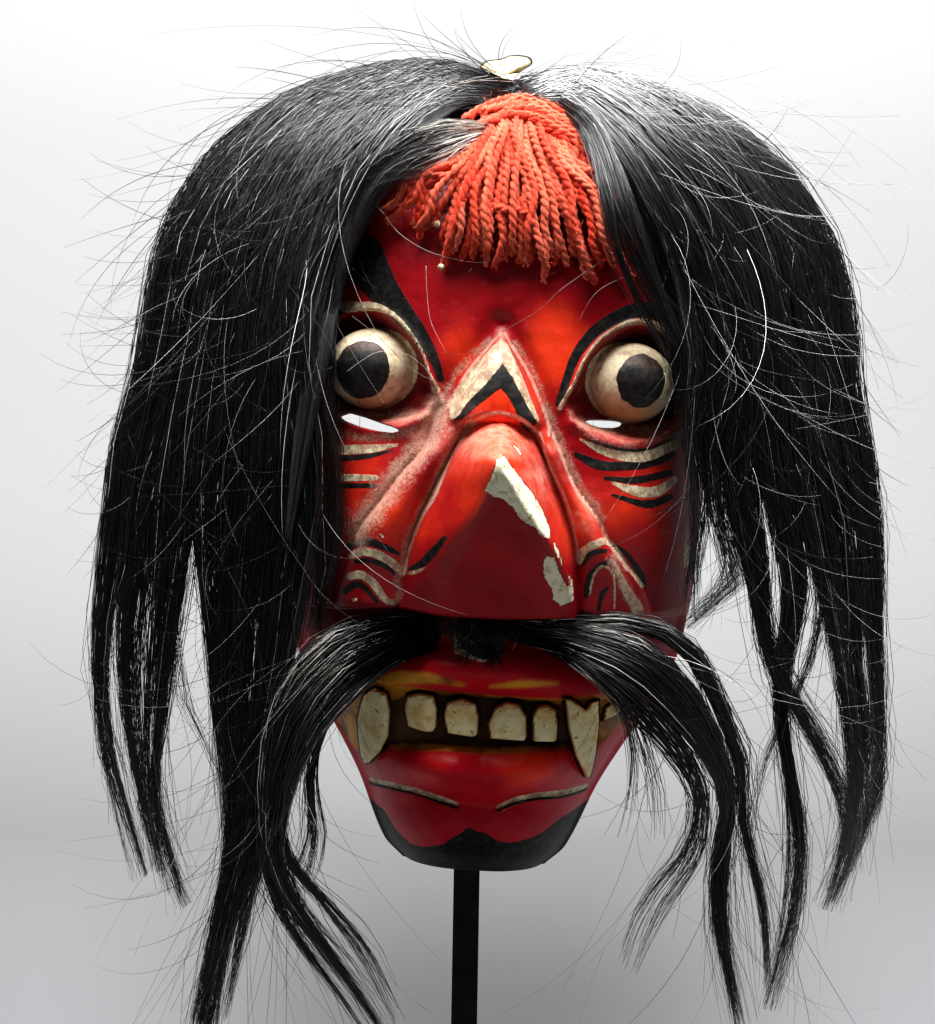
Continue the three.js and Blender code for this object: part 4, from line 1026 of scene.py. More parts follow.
# Wisps that the hair gathers into below the shoulders. feed is the stretch of locks that a wisp draws
# from, 0 for the foremost lock, depth is its tip's, and its trail goes down through pixels of the
# photo, each with the wisp's width in pixels.
WISPS = {
    "left": [
        dict(feed=(-0.1, 0.35), count=340, depth=58,
             trail=[(322, 455, 36), (325, 530, 30), (322, 590, 20), (316, 640, 8)]),
        dict(feed=(0.05, 1.1), count=900, depth=57,
             trail=[(300, 460, 54), (287, 550, 51), (277, 640, 39), (264, 720, 29), (252, 800, 26),
                    (240, 865, 24), (222, 940, 22), (208, 1020, 17), (200, 1075, 10)]),
        dict(feed=(0.7, 1.8), count=650, depth=52,
             trail=[(256, 455, 48), (245, 550, 42), (238, 640, 31), (235, 720, 24), (239, 795, 24),
                    (230, 870, 20), (208, 950, 17), (196, 1030, 12)]),
        dict(feed=(1.5, 2.6), count=500, depth=45,
             trail=[(214, 455, 45), (210, 540, 38), (213, 610, 20), (216, 665, 14), (222, 740, 14),
                    (231, 805, 12), (228, 860, 6)]),
        dict(feed=(2.4, 3.4), count=560, depth=36,
             trail=[(181, 455, 45), (173, 540, 42), (165, 610, 32), (160, 680, 27), (155, 750, 18),
                    (152, 800, 13), (160, 850, 8), (172, 885, 5), (187, 906, 2)]),
        dict(feed=(3.1, 4.3), count=500, depth=28,
             trail=[(151, 455, 48), (139, 540, 42), (130, 610, 34), (126, 680, 28), (132, 740, 18),
                    (143, 795, 12), (151, 835, 7), (160, 872, 4)]),
        dict(feed=(4.0, 5.5), count=500, depth=16,
             trail=[(126, 440, 39), (113, 530, 33), (103, 610, 27), (97, 680, 18), (101, 730, 11),
                    (114, 785, 8), (131, 832, 6), (148, 876, 4)]),
        dict(feed=(2.6, 3.1), count=60, depth=46,
             trail=[(176, 500, 18), (171, 600, 11), (174, 680, 8), (189, 710, 5), (207, 733, 5),
                    (221, 766, 5), (229, 805, 4)]),
    ],
    "right": [
        dict(feed=(0.0, 0.9), count=330, depth=52,
             trail=[(693, 435, 30), (702, 485, 22), (699, 530, 16), (695, 575, 12), (688, 618, 7)]),
        dict(feed=(0.5, 1.4), count=300, depth=50,
             trail=[(714, 440, 33), (718, 500, 27), (724, 545, 20), (739, 578, 14), (729, 597, 10),
                    (706, 604, 8), (684, 627, 7)]),
        dict(feed=(1.0, 2.1), count=470, depth=44,
             trail=[(737, 450, 39), (746, 520, 33), (759, 570, 24), (760, 615, 18), (768, 655, 15),
                    (786, 692, 15), (813, 730, 13), (834, 768, 12), (846, 803, 11), (852, 838, 10),
                    (849, 872, 7)]),
        dict(feed=(1.8, 2.9), count=430, depth=38,
             trail=[(770, 450, 39), (784, 520, 33), (797, 570, 24), (794, 620, 20), (784, 655, 14),
                    (780, 695, 11), (785, 745, 8), (797, 805, 7), (801, 860, 6), (797, 900, 6),
                    (781, 955, 5), (767, 1010, 4)]),
        dict(feed=(2.6, 3.9), count=540, depth=32,
             trail=[(799, 450, 42), (814, 520, 36), (826, 570, 28), (832, 620, 22), (840, 660, 20),
                    (850, 720, 14), (857, 780, 12), (850, 830, 10), (836, 870, 8), (824, 910, 6)]),
        dict(feed=(3.6, 4.9), count=540, depth=22,
             trail=[(828, 450, 42), (842, 520, 39), (850, 580, 33), (853, 640, 24), (862, 700, 16),
                    (869, 760, 12), (862, 812, 10), (846, 855, 7)]),
        dict(feed=(4.7, 6.5), count=540, depth=12,
             trail=[(856, 440, 39), (869, 520, 33), (873, 590, 26), (872, 650, 18), (881, 720, 13),
                    (879, 780, 10), (874, 820, 8), (854, 858, 7), (836, 905, 6)]),
        dict(feed=(3.1, 3.9), count=70, depth=42,
             trail=[(816, 540, 18), (822, 620, 13), (794, 696, 10), (763, 752, 7), (749, 800, 6),
                    (744, 850, 4)]),
    ],
}
MOUSTACHES = {
    "left": [
        dict(count=700, depth=(59, 59, 61.5, 65, 67, 68, 68, 68, 67, 66, 64, 62, 60, 60),
             trail=[(439, 629, 22), (424, 631, 34), (398, 636, 46), (362, 648, 62), (331, 672, 70),
                    (303, 706, 64), (285, 746, 50), (275, 790, 38), (270, 838, 27), (276, 875, 20),
                    (293, 910, 17), (320, 948, 16), (348, 984, 15), (380, 1035, 12)]),
        dict(count=230, depth=(59, 61, 65, 67, 67, 66, 64, 63, 62, 61),
             trail=[(438, 634, 20), (405, 636, 30), (362, 652, 30), (328, 680, 27), (299, 718, 24),
                    (279, 762, 20), (264, 812, 18), (252, 865, 16), (236, 925, 13), (216, 1020, 9)]),
        dict(count=130, depth=(59, 61, 65, 67, 67, 66, 64, 63, 62),
             trail=[(438, 644, 14), (402, 652, 18), (362, 682, 16), (331, 714, 13), (316, 742, 9),
                    (309, 788, 7), (313, 834, 6), (308, 869, 5), (297, 896, 4)]),
        dict(count=110, depth=(68, 69, 69, 68, 67, 66, 64, 62, 60),
             trail=[(395, 640, 20), (340, 676, 20), (303, 730, 18), (281, 790, 14), (283, 842, 9),
                    (307, 880, 7), (335, 917, 7), (362, 957, 7), (397, 1026, 7)]),
    ],
    "right": [
        dict(count=480, depth=(59, 61, 66, 69, 68, 66, 64, 62, 61, 60, 60, 60, 60),
             trail=[(508, 629, 22), (545, 634, 30), (592, 645, 36), (637, 664, 44), (675, 697, 42),
                    (704, 735, 32), (721, 767, 22), (730, 798, 14), (726, 835, 9), (722, 878, 8),
                    (724, 924, 7), (731, 969, 6), (741, 1030, 5)]),
        dict(count=220, depth=(60, 64, 66, 67, 67, 66, 64, 62, 61, 60, 60, 60),
             trail=[(520, 624, 16), (580, 622, 14), (630, 622, 14), (670, 634, 15), (696, 657, 15),
                    (713, 692, 15), (729, 731, 12), (741, 765, 9), (741, 815, 6), (749, 855, 4),
                    (763, 924, 3), (765, 995, 3)]),
        dict(count=90, depth=(62, 67, 69, 67, 64, 62, 60, 60, 60, 60),
             trail=[(540, 640, 18), (580, 660, 22), (620, 690, 26), (655, 725, 28), (685, 765, 24),
                    (700, 800, 20), (692, 850, 24), (668, 882, 30), (645, 918, 32), (626, 972, 30)]),
        dict(count=50, depth=(63, 68, 69, 67, 64, 62),
             trail=[(550, 640, 16), (590, 668, 20), (622, 700, 22), (638, 740, 30), (644, 790, 44),
                    (640, 840, 60)]),
    ],
}
# Pale loose hairs that lie over the brow, through pixels of the photo
BROW_HAIRS = [
    [(366, 196), (383, 213), (400, 234), (430, 252), (470, 262), (494, 261)],
    [(426, 266), (427, 292), (431, 322), (446, 352)],
    [(600, 262), (560, 290), (540, 309), (505, 330), (467, 353), (440, 352)],
    [(640, 270), (605, 286), (590, 300), (579, 321)],
    [(352, 316), (380, 338), (410, 368), (440, 384)],
    [(346, 372), (378, 352), (410, 356), (436, 380)],
]


def from_photo(pixels, depth):
    """Places in the mask's frame that the camera sees at pixels of the photo, at the given depths."""
    pixels = np.asarray(pixels, float)
    step = (CAMERA_TO_RIM - depth * MM) / FOCAL_PIXELS
    right = (pixels[:, 0] - PHOTO_WIDTH / 2) * step
    up = (PHOTO_HEIGHT / 2 - pixels[:, 1]) * step
    c, s = math.cos(CAMERA_ROLL), math.sin(CAMERA_ROLL)
    across = CAMERA_X + c * right - s * up
    height = CAMERA_Z + s * right + c * up
    return unplaced(np.stack([across, mask_high[1] - depth * MM, height], 1))


def pixel_size(depth):
    """Millimetres that a pixel of the photo spans at a depth."""
    return (CAMERA_TO_RIM / MM - depth) / FOCAL_PIXELS


def dome_top(depth):
    u = np.clip(depth / plain_depth(np.array(TEMPLE_Z)), 0, 1)
    return TEMPLE_Z + (CROWN_Z - TEMPLE_Z) * np.power(1 - np.power(u, DOME_DEPTH_POWER),
                                                      1 / DOME_DEPTH_POWER)


def cover_depth(x, z):
    """Rough depth of the carved face and its eyeballs, for what lies on it."""
    r = np.hypot((np.abs(x) - EYE_X) / EYE_WIDE, (z - EYE_Z) / EYE_TALL)
    middle = face_depth(np.array(EYE_X), np.array(EYE_Z)) - EYE_SUNK
    eye = np.where(r < 1, middle + EYE_BULGE * np.sqrt(np.maximum(1 - r * r, 0)), 0)
    side = np.abs(x)
    upper = smoothstep(z, LEDGE_Z - 1, LEDGE_Z - 0.4)
    out = -LEDGE_STEP * (1 - upper) + 3.5 * upper * bump(np.hypot((side - 41) / 20, (z - 108) / 24))
    out = out + 8 * (1 - upper) * bump((z - 60.5 + 7 * np.square(side / 36)) / 8.5) * bump(side / 48)
    out = out + 8 * bump((z - 31) / 9) * bump(side / 37)
    return np.maximum(face_depth(x, z) + out, eye)


def drape(x, depth, z, lift, reach=4.0):
    """Keeps places that lie over the face in front of its carving."""
    over = (np.abs(x) < half_width(z)) & (z > 0) & (z < CROWN_Z)
    floor = np.full(np.shape(x), -1e3)
    for dx in (-reach, 0, reach):
        for dz in (-reach, 0, reach):
            floor = np.maximum(floor, cover_depth(x + dx, np.clip(z + dz, 0, CROWN_Z - 0.5)))
    return np.where(over, np.maximum(depth, floor + lift), depth)


def lock_path(side, lock):
    """Middle line of a lock from the parting over its shoulder, and its outward directions."""
    a = (np.arange(SHOULDER_STEPS + 1) / SHOULDER_STEPS) ** 1.5 * 0.5 * math.pi
    root_z = dome_top(lock["root"]) + ROOT_LIFT
    x = PARTING + (lock["x"] - PARTING) * np.sin(a) ** (2 / lock["curve"])
    z = lock["shoulder"] + (root_z - lock["shoulder"]) * np.maximum(np.cos(a), 0) ** (2 / lock["curve"])
    z = z - ROOT_DIP[side] * (1 - smoothstep(x, 0, DIP_REACH[side]))
    depth = lerp(lock["root"], lock["depth"], np.sin(a))
    depth = drape(side * x, depth, z, LOCK_THICK)
    out = np.stack([side * 0.65 * np.sin(a), 0.3 + 0.4 * np.sin(a), np.cos(a)], 1)
    return np.stack([side * x, depth, z], 1), unit(out)


def unit(vectors):
    return vectors / (np.linalg.norm(vectors, axis=-1, keepdims=True) + 1e-9)


def between(values, k):
    """Rows of values at fractional places, carried on in a straight line past both ends."""
    i = np.clip(np.floor(k).astype(int), 0, len(values) - 2)
    f = (k - i)[:, None, None]
    return values[i] * (1 - f) + values[i + 1] * f


def wave(rng, count, t, cycles):
    """A smooth random sideways wander for each strand."""
    total = np.zeros((count, len(t)))
    for k in range(1, 4):
        phase = rng.uniform(0, 2 * math.pi, (count, 1))
        speed = rng.uniform(0.5, 1.3, (count, 1)) * cycles * k / 2
        total += rng.normal(0, 1 / k, (count, 1)) * np.sin(2 * math.pi * speed * t[None, :] + phase)
    return total


def resampled(controls, begin, end, steps):
    """Smooth lines through each row of control places, between two shares of their length."""
    count, n = controls.shape[:2]
    spans = np.linalg.norm(np.diff(controls.mean(0), axis=0), axis=1)
    base = np.concatenate([[0], np.cumsum(spans)]) / spans.sum()
    t = begin[:, None] + (end - begin)[:, None] * np.linspace(0, 1, steps)[None, :]
    at = np.interp(t, base, np.arange(n))
    i = np.clip(np.floor(at).astype(int), 0, n - 2)
    f = (at - i)[..., None]
    rows = np.arange(count)[:, None]
    a, b, c, d = [controls[rows, np.clip(i + j, 0, n - 1)] for j in (-1, 0, 1, 2)]
    return 0.5 * (2 * b + (c - a) * f + (2 * a - 5 * b + 4 * c - d) * f**2 + (3 * b - a - 3 * c + d) * f**3)


def trail_controls(rng, middle, width, thick, share, layer, u, clumps=8, loose=0.32):
    """Control places of the strands of a wisp, which gathers into clumps toward its tip."""
    count = len(share)
    tangent = unit(np.gradient(middle, axis=0))
    across = np.stack([-tangent[:, 2], np.zeros(len(middle)), tangent[:, 0]], 1)
    spots = rng.uniform(-0.9, 0.9, clumps)
    own = np.argmin(np.abs(share[:, None] - spots[None, :] + rng.normal(0, 0.25, (count, clumps))), 1)
    gathered = spots[own] + rng.normal(0, 0.16, count)
    pull = 0.70 * smoothstep(u, 0.35, 0.95)
    place = lerp(share[:, None], gathered[:, None], pull[None, :])
    free = np.where(rng.random(count) < loose, rng.uniform(2, 8, count), 1)[:, None]
    sway = wave(rng, clumps, u, 1.3)[own] * 1.7 * u + wave(rng, count, u, 1.6) * 0.5 * free * (0.2 + u)
    offset = place * width / 2 + sway
    sink = layer[:, None] * thick + wave(rng, count, u, 1.2) * 0.5 * free * (0.25 + u)
    return middle + across * offset[..., None] + np.array([0, 1.0, 0]) * sink[..., None]


def wisp_lines(rng, side, paths, outs, wisp, steps):
    """Strands from the parting over the shoulder and down a wisp."""
    low, high = wisp["feed"]
    count = wisp["count"]
    share = rng.uniform(-1, 1, count)
    layer = rng.uniform(-1, 1, count)
    k = (low + high) / 2 + share * (high - low) / 2
    lift = layer * LOCK_THICK * 0.95
    down = np.linspace(0, 1, paths.shape[1])
    rooted = between(paths, np.maximum(k + rng.normal(0, 0.4, count), low - 0.2))
    upper = lerp(rooted, between(paths, k), down[None, :, None])
    rising = lerp(0.45, 1.0, smoothstep(down, 0, 0.35))
    upper = upper + between(outs, k) * (lift[:, None] * rising)[..., None]
    drift = wave(rng, count, down, 0.8) * np.linspace(0.3, 1.3, len(down))
    upper = upper + np.array([0.5, 0.3, 0.5]) * drift[..., None]
    trail = np.array(wisp["trail"], float)
    u = np.linspace(0, 1, len(trail) + 1)[1:]
    start = between(paths, np.array([(low + high) / 2]))[0, -1, 1]
    depth = lerp(start, wisp["depth"], u)
    middle = from_photo(trail[:, :2], depth)
    width = trail[:, 2] * pixel_size(depth)
    lower = trail_controls(rng, middle, width, np.clip(width * 0.35, 0.8, 4.5), side * share, layer, u)
    ahead = (upper[:, -1, 1] - start - lift * 0.5) * 0.9
    lower[..., 1] += ahead[:, None] * (1 - u)
    controls = np.concatenate([upper[:, ::2], lower], 1)
    end = 1 - 0.62 * rng.random(count) ** 1.7
    outer = layer > -0.15
    begin = np.where(outer, rng.uniform(0, 0.035, count), rng.uniform(0.16, 0.32, count))
    return [resampled(controls[own], begin[own], end[own], n)
            for own, n in ((outer, steps), (~outer, steps - 3))]


def moustache_lines(rng, wisp, steps):
    count = wisp["count"]
    trail = np.array(wisp["trail"], float)
    depth = np.array(wisp["depth"], float)
    middle = from_photo(trail[:, :2], depth)
    width = trail[:, 2] * pixel_size(depth)
    u = np.linspace(0, 1, len(trail))
    share, layer = rng.uniform(-1, 1, count), rng.uniform(-1, 1, count)
    controls = trail_controls(rng, middle, width, np.clip(width * 0.3, 0.6, 3.4), share, layer, u, 5, 0.2)
    begin = rng.uniform(0, 0.10, count)
    end = np.where(rng.random(count) < 0.3, rng.uniform(0.35, 0.9, count), rng.uniform(0.8, 1.0, count))
    lines = resampled(controls, begin, end, steps)
    lines[..., 1] = drape(lines[..., 0], lines[..., 1], lines[..., 2], 0.8, 1.5)
    return lines


def tube_arrays(lines, radii, sides):
    """Places and triangles of closed tubes along lines of (count, steps, 3)."""
    count, steps = lines.shape[:2]
    tangent = unit(np.gradient(lines, axis=1))
    helper = np.where(np.abs(tangent[..., 1:2]) < 0.9, np.array([0.0, 1.0, 0.0]), np.array([1.0, 0.0, 0.0]))
    first = unit(np.cross(tangent, helper))
    second = np.cross(tangent, first)
    turn = (np.arange(sides) / sides * 2 * math.pi)[None, None, :, None]
    ring = first[:, :, None] * np.cos(turn) + second[:, :, None] * np.sin(turn)
    points = lines[:, :, None] + ring * radii[:, :, None, None]
    each = steps * sides
    i, j = np.meshgrid(np.arange(steps - 1), np.arange(sides), indexing="ij")
    a = (i * sides + j).ravel()
    b = (i * sides + (j + 1) % sides).ravel()
    one = np.concatenate([np.stack([a, b + sides, b], 1), np.stack([a, a + sides, b + sides], 1)])
    last = (steps - 1) * sides
    caps = ([[0, k, k + 1] for k in range(1, sides - 1)]
            + [[last, last + k + 1, last + k] for k in range(1, sides - 1)])
    one = np.concatenate([one, np.array(caps)])
    faces = (np.arange(count)[:, None, None] * each + one[None]).reshape(-1, 3)
    return placed(points.reshape(-1, 3)), faces


def tubes(name, batches, material, sides=3):
    """One object of closed tubes. Each batch holds lines, their radii and their tones, for every step."""
    points, faces, tone, length = [], [], [], []
    at = 0
    for lines, radii, tones in batches:
        own, tri = tube_arrays(lines, radii, sides)
        points.append(own)
        faces.append(tri + at)
        at += len(own)
        tone.append(np.repeat(np.broadcast_to(tones, radii.shape).ravel(), sides))
        steps = np.broadcast_to(np.linspace(0, 1, radii.shape[1]), radii.shape)
        length.append(np.repeat(steps.ravel(), sides))
    obj = mesh_object(name, np.concatenate(points), np.concatenate(faces), [material])
    set_field(obj, "tone", np.concatenate(tone))
    set_field(obj, "length", np.concatenate(length))
    return obj


def strand_radii(rng, lines, radius):
    own = rng.uniform(0.7, 1.25, (len(lines), 1)) * radius
    t = np.linspace(0, 1, lines.shape[1])[None, :]
    return own * (1 - 0.7 * np.clip((t - 0.5) / 0.5, 0, 1))


def hair_tones(rng, lines, pale=0.02, pale_roots=0.0, fade=0.22, shade=0.0, dull=0.0):
    """Lightness along each strand: most are black, a few are pale, some have light roots that stand partly
    for pale hairs and partly for painted sheen.

    Below zero a strand loses its gloss: all of it where it is dull, and its root, painted into shade, for
    the share given by shade.
    """
    count, steps = lines.shape[:2]
    tones = rng.uniform(0, 1, count) ** 2 * 0.30 - dull
    light = rng.random(count) < pale
    tones[light] = rng.uniform(0.4, 0.9, light.sum())
    roots = (rng.random(count) < pale_roots) * rng.uniform(0.6, 1, count)
    t = np.linspace(0, 1, steps)[None, :]
    tones = np.maximum(tones[:, None], roots[:, None] * (1 - smoothstep(t, 0.3 * fade, fade)))
    tones = tones - 0.4 * rng.random((count, 1)) * (tones < 0.3)
    return tones - 2 * (1 - smoothstep(t, 0.6 * shade, shade + 1e-3)) * (shade > 0)


def batch(rng, lines, radius, **tones):
    return lines, strand_radii(rng, lines, radius), hair_tones(rng, lines, **tones)


def hair_material():
    s = Shader("horsehair")
    tone = s.field("tone")
    black = s.mix(s.ramp(tone, 0.0, 0.25), (0.006, 0.006, 0.007), (0.026, 0.026, 0.027))
    colour = s.mix(s.ramp(tone, 0.3, 1.0), black, (0.80, 0.76, 0.68))
    streak = s.noise(900, 2)
    lit = s.ramp(tone, -1.0, 0.0)
    s.set(Base_Color=colour, Roughness=s.math("MULTIPLY_ADD", streak, 0.16, 0.26), Specular_IOR_Level=lit,
          Coat_Weight=s.times(lit, 0.65), Coat_Roughness=0.34)
    return s.material


def core_material():
    s = Shader("horsehair_mass")
    grooves = s.combine(s.field("around"), s.times(s.field("length"), 0.035), 0.0)
    lines = s.noise(62, 5, 0.7, vector=grooves)
    colour = s.mix(s.ramp(lines, 0.4, 0.75), (0.003, 0.003, 0.004), (0.020, 0.019, 0.021))
    s.set(Base_Color=colour, Roughness=s.math("MULTIPLY_ADD", lines, 0.2, 0.4),
          Normal=s.bump(lines, 0.0012, 0.9))
    return s.material


def hide_material():
    s = Shader("hide")
    stain = s.ramp(s.noise(240, 5, 0.7), 0.4, 0.66)
    colour = s.mix(stain, (0.66, 0.58, 0.38), (0.25, 0.17, 0.08))
    s.set(Base_Color=colour, Roughness=0.8, Normal=s.bump(s.noise(1300, 4, 0.6), 0.0004, 0.7))
    return s.material


CORE_SIDES = 20


def core_rings(path, out, half, thick):
    """Rings of a tapering mass round a path, with shallow ridges."""
    tangent = unit(np.gradient(path, axis=0))
    across = unit(np.cross(tangent, out))
    outward = np.cross(across, tangent)
    size = along([(0, 0.7), (0.3, 1), (0.7, 0.9), (1, 0.2)], np.linspace(0, 1, len(path)))[:, None]
    a = np.arange(CORE_SIDES) / CORE_SIDES * 2 * math.pi
    ridges = 1 + 0.05 * np.cos(a * 7)[None, :]
    u = (np.cos(a)[None, :] * half * size * ridges)[..., None]
    v = (np.sin(a)[None, :] * thick * size * ridges)[..., None]
    return path[:, None] + across[:, None] * u + outward[:, None] * v


def cores(name, lofts, material):
    """One object of closed hair masses, with fields that run around and along each of them."""
    points, faces, around, length = [], [], [], []
    at = 0
    for rings in lofts:
        count, sides = rings.shape[:2]
        ends = np.stack([rings[0].mean(0), rings[-1].mean(0)])
        own = placed(np.concatenate([rings.reshape(-1, 3), ends]))
        tri = loft_faces(count, sides)
        middle = own.mean(0)
        a, b, c = own[tri[:, 0]] - middle, own[tri[:, 1]] - middle, own[tri[:, 2]] - middle
        if np.einsum("ij,ij->i", a, np.cross(b, c)).sum() < 0:
            tri = tri[:, ::-1]
        points.append(own)
        faces.append(tri + at)
        turn = np.cos(np.arange(sides) / sides * 2 * math.pi)
        around.append(np.concatenate([np.tile(turn, count), [0, 0]]))
        length.append(np.concatenate([np.repeat(np.arange(count) / (count - 1), sides), [0, 1]]))
        at += len(own)
    obj = mesh_object(name, np.concatenate(points), np.concatenate(faces), [material])
    set_field(obj, "around", np.concatenate(around))
    set_field(obj, "length", np.concatenate(length))
    return obj


def lock_cores(name, paths, outs):
    """A dark mass inside each lock, down to where the hair parts into wisps."""
    lofts = []
    for k, (path, out) in enumerate(zip(paths, outs)):
        wisp = WISPS[name][min(k + 1, 6)]
        trail = np.array(wisp["trail"][:2], float)
        depth = np.array([path[-1, 1], lerp(path[-1, 1], wisp["depth"], 0.25)])
        fall = resampled(np.concatenate([path[-2:], from_photo(trail[:, :2], depth)])[None], np.zeros(1),
                         np.ones(1), 10)[0]
        line = np.concatenate([path[:-2], fall])
        outward = np.concatenate([out[:-2], np.tile(out[-1:], (len(fall), 1))])
        lofts.append(core_rings(line, outward, 5.2, LOCK_THICK * 0.5))
    return cores("hair_mass_" + name, lofts, hair_core)


def hair_side(name, side, seed):
    """The cores and strands of one side of the head, and some of its strands' lines."""
    rng = np.random.default_rng(seed)
    fan = [lock_path(side, lock) for lock in LOCKS[name]]
    paths, outs = np.stack([p for p, _ in fan]), np.stack([o for _, o in fan])
    made = [lock_cores(name, paths[-6:], outs[-6:])]
    lines = []
    for wisp in WISPS[name]:
        steps = 11 if len(wisp["trail"]) < 10 else 14
        for own in wisp_lines(rng, side, paths, outs, wisp, steps):
            own[..., 0] = np.where(side * own[..., 0] < PARTING, side * PARTING, own[..., 0])
            own[..., 1] = drape(own[..., 0], own[..., 1], own[..., 2], 0.6, 1.5)
            lines.append(own)
    for part, chosen in (("front", lines[:6]), ("back", lines[6:])):
        made.append(tubes(f"hair_{name}_{part}", [batch(rng, own, HAIR_RADIUS) for own in chosen], hair))
    return made, lines


def moustache(name, seed):
    rng = np.random.default_rng(seed)
    main = MOUSTACHES[name][0]
    trail = np.array(main["trail"][:7], float)
    depth = np.array(main["depth"][:7], float)
    path = resampled(from_photo(trail[:, :2], depth)[None], np.zeros(1), np.ones(1), 24)[0]
    mass = cores("moustache_mass_" + name,
                 [core_rings(path, np.tile([0.0, 1.0, 0.2], (24, 1)), 4.2, 2.0)], hair_core)
    lines = [moustache_lines(rng, wisp, 12) for wisp in MOUSTACHES[name]]
    # Roots under the ledge are painted into shade, black and without gloss; light roots are painted sheen
    # on the left, pale hairs with painted highlight on the right
    shade = 0.12 if name == "left" else 0.07
    pale, fade = (0.45, 0.34) if name == "right" else (0.35, 0.5)
    batches = [batch(rng, own, HAIR_RADIUS, pale_roots=pale, fade=fade, shade=shade) for own in lines]
    return [mass, tubes("moustache_hair_" + name, batches, hair)], lines


def stray_lines(rng, starts, headings, lengths, turns, steps=13, sag=0.03):
    """Loose hairs, each of which turns at its own slowly changing rate."""
    step = (lengths / (steps - 1))[:, None]
    axis = unit(np.array([0, 1.0, 0]) + rng.normal(0, 0.45, starts.shape))
    change = rng.uniform(-1.5, 1.5, len(starts))
    place, heading = starts, unit(headings)
    line = [place]
    for k in range(steps - 1):
        rate = (turns * (1 + change * (k / steps - 0.5)) / (steps - 1))[:, None]
        heading = unit(heading * np.cos(rate) + np.cross(axis, heading) * np.sin(rate)
                       + np.array([0, 0, -sag]))
        place = place + heading * step
        line.append(place)
    return np.stack(line, 1)


def picked(rng, groups, count, low, high):
    """Places on some strands, between two shares of their length, and the headings there."""
    places, headings = [], []
    sizes = np.array([len(g) for g in groups], float)
    for g in rng.choice(len(groups), count, p=sizes / sizes.sum()):
        line = groups[g][rng.integers(len(groups[g]))]
        i = int(rng.uniform(low, high) * (len(line) - 2))
        places.append(line[i])
        headings.append(line[i + 1] - line[i])
    return np.array(places), unit(np.array(headings))


def within_reach(lines):
    """The lines, shortened until they stay in the CAD model's box or a little outside it."""
    margin = 0.012
    low, high = np.array(cad_box[0]) - margin, np.array(cad_box[1]) + margin
    kept = []
    for _ in range(4):
        p = placed(lines.reshape(-1, 3)).reshape(lines.shape)
        inside = ((p > low) & (p < high)).all(axis=(1, 2))
        kept.append(lines[inside])
        lines = lines[~inside]
        lines = lines[:, :1] + (lines - lines[:, :1]) * 0.7
    return np.concatenate(kept)


def strays(groups, moustache_groups):
    """Loose hairs round the head, at the tips, over the hair and over the brow."""
    rng = np.random.default_rng(SEED + 30)
    middle = np.array([0, 20.0, 120.0])
    batches = []

    def add(lines, radius, pale, dull=0.0):
        lines = within_reach(lines)
        batches.append(batch(rng, lines, radius, pale=pale, dull=dull))

    places, headings = picked(rng, groups, 340, 0.0, 0.7)
    outward = unit(places - middle)
    headings = headings + 0.45 * outward + rng.normal(0, 0.3, places.shape)
    add(stray_lines(rng, places + outward * 2, headings, rng.uniform(15, 85, 340),
                    rng.uniform(-1.9, 1.9, 340)), radius=0.10, pale=0.03, dull=0.8)
    places, headings = picked(rng, groups, 420, 0.6, 0.95)
    headings = headings + rng.normal(0, 0.45, places.shape)
    add(stray_lines(rng, places, headings, rng.uniform(20, 80, 420), rng.uniform(-2.6, 2.6, 420)),
        radius=0.085, pale=0.03, dull=0.75)
    places, headings = picked(rng, moustache_groups, 130, 0.25, 0.9)
    headings = headings + rng.normal(0, 0.35, places.shape)
    add(stray_lines(rng, places, headings, rng.uniform(30, 110, 130), rng.uniform(-2.4, 2.4, 130)),
        radius=0.07, pale=0.08, dull=0.4)
    places, headings = picked(rng, groups, 110, 0.03, 0.45)
    outward = unit(places - middle)
    headings = headings + 0.12 * outward + rng.normal(0, 0.13, places.shape)
    start = places + outward * rng.uniform(2, 5, 110)[:, None]
    add(stray_lines(rng, start, headings, rng.uniform(30, 110, 110), rng.uniform(-1.2, 1.2, 110),
                    sag=0.05), radius=0.075, pale=0.3, dull=0.3)
    # Whitish roots of the wisp over the brow: pale hairs with painted highlight
    batches.append(batch(rng, laid_wisp(rng, ROOT_WISP, ROOT_LIFTS, 240), 0.13, pale_roots=0.85, fade=0.75))
    batches.append(batch(rng, laid_wisp(rng, BROW_WISP, BROW_LIFTS, 150), 0.13))
    for pixels in BROW_HAIRS:
        flat = from_photo(pixels, np.full(len(pixels), 60.0))
        flat[:, 1] = drape(flat[:, 0], flat[:, 1], flat[:, 2], 4.0)
        places = from_photo(pixels, flat[:, 1])
        add(resampled(places[None], np.zeros(1), np.ones(1), 18), radius=0.09, pale=1.0)
    return tubes("stray_hair", batches, hair)


# Sparse wisps over the brow: places in pixels of the photo, each with its width, and heights over the face
ROOT_WISP = [(496, 130, 12), (470, 133, 28), (440, 141, 40), (410, 155, 42), (384, 178, 36),
             (362, 212, 26), (346, 250, 16)]
ROOT_LIFTS = [4, 9, 12, 13, 13, 11, 9]
BROW_WISP = [(556, 100, 18), (586, 120, 26), (604, 156, 28), (617, 203, 28), (631, 248, 30),
             (650, 294, 34), (674, 335, 32), (693, 378, 28), (704, 430, 22), (708, 492, 14)]
BROW_LIFTS = [9, 11, 12, 12, 11, 10, 10, 10, 9, 8]


